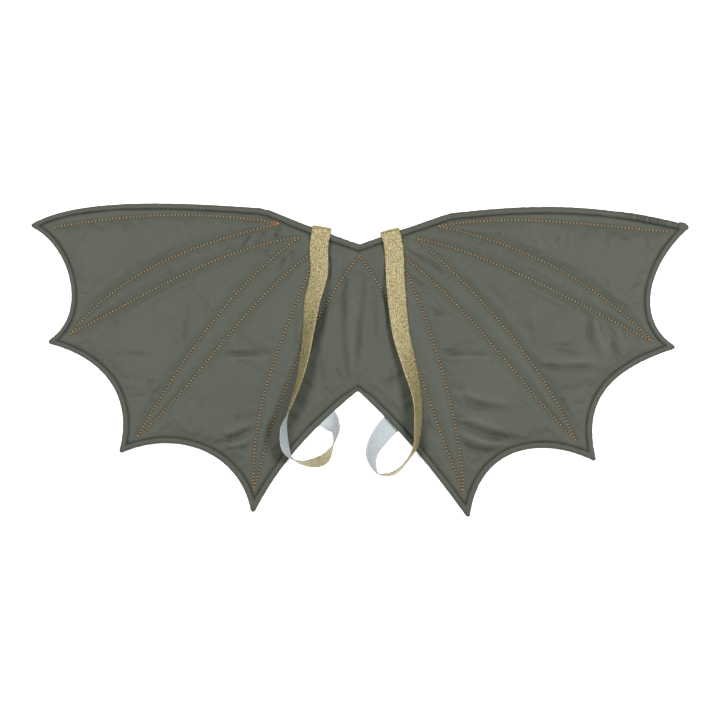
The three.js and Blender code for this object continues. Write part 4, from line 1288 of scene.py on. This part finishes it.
def strapLine(side):
    # centre line and width way of one strap, from its seam at the neck to its seam at the waist
    hand = 1 if side == "left" else -1
    rows = straps[side]["rows"]
    neck, waist = strapSeams[side]["neck"], strapSeams[side]["waist"]
    thick, width = straps["thickness"], straps["width"]
    heading = unit(place(rows[1]) - place(rows[0]))
    foldRadius = (pipingTop + straps["clearance"] + thick / 2 - strapLevel) / 2
    foldOutside = neck["point"] + neck["inward"] * (thick / 2 - straps["foldOut"])
    foldTop = foldOutside + heading * foldRadius
    waistInside = waist["point"] + waist["inward"] * (waist["width"] - outline["seamGap"])
    knots = [(*foldTop, rows[0][2])] + [(*place(row), row[2]) for row in rows[1:-1]]
    knots += [(*waist["point"], rows[-1][2]), (*waistInside, rows[-1][2])]
    rough = smoothCurve(np.array(knots, dtype=float), 50)[2]
    count = round(rough / straps["step"]) + 1
    route, share, length = smoothCurve(np.array(knots, dtype=float), count)
    spacing = length / (count - 1)
    way = unit(np.gradient(route[:, :2], axis=0))
    turn = np.radians(route[:, 2])
    outward = np.column_stack((way[:, 1], -way[:, 0])) * hand
    face = np.column_stack((outward * np.sin(turn)[:, None], np.cos(turn)))
    across = unit(np.cross(np.column_stack((way, np.zeros(count))), face))
    seamWay = np.append(waist["way"], 0) * np.sign(np.append(waist["way"], 0) @ across[-1])
    blend = smooth((np.arange(count) - (count - 5)) / 4)[:, None]
    across = unit(across * (1 - blend) + seamWay * blend)
    onWing = share < straps[side]["onWing"]
    needed = np.zeros(count)
    for i in range(count):
        levels = []
        for j in np.linspace(-0.5, 0.5, straps["supportSamples"]):
            x, y, z = np.append(route[i, :2], 0) + across[i] * j * width
            support = supportAt(x, y) if onWing[i] else 0.0
            levels.append(support + (straps["clearance"] if support else straps["tableClearance"]) - z)
        needed[i] = max(levels) + thick / 2 * abs(face[i, 2])
    apart = np.abs(np.arange(count)[:, None] - np.arange(count)[None]) * spacing
    level = (needed[None] - straps["slope"] * np.maximum(0, apart - 4)).max(axis=1)
    kernel = np.hanning(9)[1:-1]
    level = np.convolve(np.pad(level, 3, mode="edge"), kernel / kernel.sum(), mode="valid")
    centre = np.column_stack((route[:, :2], level))
    # under the piping, round the fold and onto the wings
    startAcross = across[0]
    seamEnd = neck["point"] + neck["inward"] * (neck["width"] - outline["seamGap"])
    neckWay = np.append(neck["way"], 0) * np.sign(np.append(neck["way"], 0) @ startAcross)
    low = np.array((*foldTop, strapLevel))
    shares = np.linspace(0, 1, straps["underSteps"], endpoint=False)
    under = [np.append(seamEnd, strapLevel) * (1 - t) + low * t for t in shares]
    underAcross = [unit(neckWay * (1 - t) + startAcross * t) for t in shares]
    arc = []
    for angle in np.linspace(0, math.pi, straps["foldSteps"], endpoint=False):
        plan = foldTop - heading * foldRadius * math.sin(angle)
        arc.append((*plan, strapLevel + (level[0] - strapLevel) * (1 - math.cos(angle)) / 2))
    centre = np.vstack((under, arc, centre))
    across = np.vstack((underAcross, [startAcross] * len(arc), across))
    return centre, across


def makeStrap(side):
    # a flat ribbon with rounded edges, gold on one face and pale on the other
    centre, across = strapLine(side)
    way = unit(np.gradient(centre, axis=0))
    across = unit(across - way * (across * way).sum(axis=1, keepdims=True))
    face = np.cross(across, way)
    lengths = lengthsAlong(centre)
    columns, thick, width = straps["columns"], straps["thickness"], straps["width"]
    shares = np.linspace(0, 1, columns + 1)
    places = [(s, 1) for s in shares] + [(s, -1) for s in shares[::-1]]
    points, uvs = [], []
    for i in range(len(centre)):
        waver = straps["waver"] * noise.noise((lengths[i] / 9, 1 if side == "left" else 2, 0))
        for share, sign in places:
            atEdge = min(share, 1 - share) * columns < 0.5
            reach = thick / 2 * (straps["edgeThickness"] if atEdge else 1)
            offset = (share - 0.5) * (width + (waver if atEdge else 0))
            crown = straps["crown"] * math.sin(math.pi * share) - straps["sink"]
            point = centre[i] + across[i] * offset + face[i] * (sign * reach + crown)
            points.append((point[0], point[1], max(point[2], straps["lowest"])))
            uvs.append((share, lengths[i] / width))
    count = len(places)
    rings = [[i * count + j for j in range(count)] for i in range(len(centre))]
    faces = closedRings(rings)
    kinds = []
    for polygon in faces:
        onGold = sum(1 for index in polygon if index % count <= columns)
        kinds.append(0 if onGold * 2 >= len(polygon) else 1)
    piece = meshPiece("elastic_strap_" + side, points, faces, [goldKnit, paleRibbed], kinds, uvs)
    print("strap", side, round(lengths[-1]), "mm long, top at", round(centre[:, 2].max(), 1))
    return piece, lengths[-1]


strapPieces = {side: makeStrap(side) for side in ("left", "right")}


def stitchGroup():
    # one stitch at every step along a line: a short arched length of thread, set along the line
    tree, given, result = newGroup(
        "GeometryNodeTree", "stitchesAlongLine",
        [("Geometry", "Geometry", None), ("Pitch", "Float", 0.003), ("Length", "Float", 0.0027),
         ("Thickness", "Float", 0.001), ("Rise", "Float", 0.0004), ("Seed", "Int", 4),
         ("Material", "Material", None)],
        [("Geometry", "Geometry")])

    def add(kind, inputs=None, **fields):
        return addNode(tree, "GeometryNode" + kind, inputs, **fields).outputs

    def along(axis, value):
        return addNode(tree, "ShaderNodeCombineXYZ", {axis: value}).outputs[0]

    line = add("MeshToCurve", {"Mesh": given["Geometry"]})[0]
    spaced = add("ResampleCurve", {"Curve": line, "Length": given["Pitch"]}, mode="LENGTH")[0]
    # the stitch itself, along X
    half = times(tree, given["Length"], 0.5)
    ends = {"Start": along("X", times(tree, half, -1.0)), "End": along("X", half)}
    short = add("CurvePrimitiveLine", ends)[0]
    bent = add("ResampleCurve", {"Curve": short, "Count": stitching["bends"]}, mode="COUNT")[0]
    factor = add("SplineParameter")["Factor"]
    out = addMath(tree, "ABSOLUTE", minus(tree, times(tree, factor, 2.0), 1.0))
    arch = minus(tree, 1.0, times(tree, out, out))
    lift = along("Z", times(tree, minus(tree, arch, 0.45), given["Rise"]))
    arched = add("SetPosition", {"Geometry": bent, "Offset": lift})[0]
    # how far each point is from the stitch's middle, which the thread material turns into painted highlight
    # and painted shade
    marks = {"Geometry": arched, "Name": "stitchEnd", "Value": out}
    named = add("StoreNamedAttribute", marks, data_type="FLOAT", domain="POINT")[0]
    slim = minus(tree, 1.0, times(tree, addMath(tree, "POWER", out, 3.0), stitching["taper"]))
    thread = add("SetCurveRadius", {"Curve": named, "Radius": slim})[0]
    section = {"Resolution": stitching["sides"], "Radius": times(tree, given["Thickness"], 0.5)}
    profile = add("CurvePrimitiveCircle", section)[0]
    tube = addNode(tree, "GeometryNodeCurveToMesh",
                   {"Curve": thread, "Profile Curve": profile, "Fill Caps": True})
    if "Scale" in tube.inputs:
        feed(tree, tube, {"Scale": slim})
    # set along the line, each a little different
    tangent = {"Vector": add("InputTangent")[0]}
    turn = addNode(tree, "FunctionNodeAlignRotationToVector", tangent, axis="X", pivot_axis="Z")
    sizes = {0: stitching["leastSize"], 1: stitching["mostSize"], "Seed": given["Seed"]}
    size = addNode(tree, "FunctionNodeRandomValue", sizes, data_type="FLOAT_VECTOR")
    spread = add("InstanceOnPoints", {"Points": spaced, "Instance": tube.outputs[0],
                                      "Rotation": turn.outputs[0], "Scale": size.outputs[0]})[0]
    real = add("RealizeInstances", {0: spread})[0]
    dressed = add("SetMaterial", {"Geometry": real, "Material": given["Material"]})[0]
    feed(tree, result, {0: dressed})
    sockets = [item for item in tree.interface.items_tree if item.in_out == "INPUT"]
    return tree, {socket.name: socket.identifier for socket in sockets}


def zigzag():
    # the whole line of stitching as one string of points
    runs = [stitchRun(index, stitching["sewnStep"])[0] for index in range(stitchCount)]
    return np.vstack([run[:-1] for run in runs[:-1]] + runs[-1:])


def tackRows():
    # short rows, close together, over the first turning point near the neck
    tack = stitching["tack"]
    across = np.linspace(-0.5, 0.5, 5)[:, None] * (tack["length"], 0)
    places = (np.arange(tack["rows"]) - (tack["rows"] - 1) / 2) * tack["apart"]
    return [place(tack["at"]) + across + (0, up) for up in places]


def makeStitches(name, side, strings, thread, pitch, length, thickness):
    # stitches along strings of points on the pad's front (side 1) or back (side -1)
    points, edges = [], []
    height = 0.05 if side > 0 else -0.01
    lift = stitching["liftFront"] if side > 0 else stitching["liftBack"]
    for string in strings:
        first = len(points)
        for x, y in string:
            hit = padSurface.ray_cast(Vector((x * mm, y * mm, height)), Vector((0, 0, -side)))[0]
            points.append((x, y, hit.z / mm + lift))
        edges += [(i, i + 1) for i in range(first, len(points) - 1)]
    mesh = bpy.data.meshes.new(name)
    mesh.from_pydata((np.array(points) * mm).tolist(), edges, [])
    piece = bpy.data.objects.new(name, mesh)
    bpy.context.scene.collection.objects.link(piece)
    tree, sockets = stitchNodes
    modifier = piece.modifiers.new("stitches", "NODES")
    modifier.node_group = tree
    sizes = {"Pitch": pitch, "Length": length, "Thickness": thickness, "Rise": side * stitching["rise"]}
    for title, value in sizes.items():
        modifier[sockets[title]] = value * mm
    modifier[sockets["Material"]] = thread
    evaluated = piece.evaluated_get(bpy.context.evaluated_depsgraph_get())
    made = bpy.data.meshes.new_from_object(evaluated)
    piece.modifiers.remove(modifier)
    piece.data = made
    made.polygons.foreach_set("use_smooth", [True] * len(made.polygons))
    print(name, len(made.polygons), "faces")
    return piece


stitchNodes = stitchGroup()
stitchSizes = (stitching["pitch"], stitching["length"], stitching["thickness"])
tack = stitching["tack"]
tackSizes = (tack["pitch"], tack["pitch"] * tack["overlap"], tack["thickness"])
stitchPieces = [
    makeStitches("stitching_front", 1, [zigzag()], mustardThread, *stitchSizes),
    makeStitches("stitching_back", -1, [zigzag()], mustardThread, *stitchSizes),
    makeStitches("stitching_tack", 1, tackRows(), tackThread, *tackSizes),
]

studio = {
    "floor": colour(244, 244, 243),
    "floorGlow": 0.62,
    "floorRoughness": 0.9,
    "floorSize": 6000,
    "floorLevel": -0.2,
    "world": 0.12,
    "lights": [
        dict(name="leftBox", at=(-1.0, 0.2, 1.6), size=0.5, power=31),
        dict(name="rightBox", at=(1.0, 0.2, 1.6), size=0.5, power=35),
    ],
}


def makeStudio():
    reach, level = studio["floorSize"], studio["floorLevel"]
    corners = [(x * reach, y * reach, level) for x, y in ((-1, -1), (1, -1), (1, 1), (-1, 1))]
    floor = meshPiece("floor", corners, [(0, 1, 2, 3)], [])
    material, tree, shader = newMaterial("paleFloor")
    feed(tree, shader, {
        "Base Color": studio["floor"],
        "Roughness": studio["floorRoughness"],
        "Specular IOR Level": 0.0,
        "Emission Color": (1, 1, 1, 1),
        "Emission Strength": studio["floorGlow"],
    })
    floor.data.materials.append(material)
    world = bpy.data.worlds.new("studio")
    world.use_nodes = True
    tree = world.node_tree
    # white, and as bright as the floor where the camera sees it
    seen = addNode(tree, "ShaderNodeLightPath").outputs["Is Camera Ray"]
    strength = plus(tree, times(tree, seen, studio["floorGlow"]), studio["world"])
    feed(tree, tree.nodes["Background"], {"Color": (1, 1, 1, 1), "Strength": strength})
    bpy.context.scene.world = world
    for row in studio["lights"]:
        data = bpy.data.lights.new(row["name"], "AREA")
        setFields(data, shape="SQUARE", size=row["size"], energy=row["power"])
        light = bpy.data.objects.new(row["name"], data)
        light.location = row["at"]
        light.rotation_euler = (-Vector(row["at"])).to_track_quat("-Z", "Y").to_euler()
        bpy.context.scene.collection.objects.link(light)
    bpy.context.scene.view_settings.view_transform = "Standard"
    bpy.context.scene.view_settings.look = "None"


makeStudio()
print("studio ready")

for piece in [wingPad] + stitchPieces:
    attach(piece, "root")
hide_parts("wing_panel")
for side in ("left", "right"):
    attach(pipings[side], "root")
    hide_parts("piping_" + side)
    strap, strapLength = strapPieces[side]
    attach(strap, "root")
    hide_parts("strap_" + side)
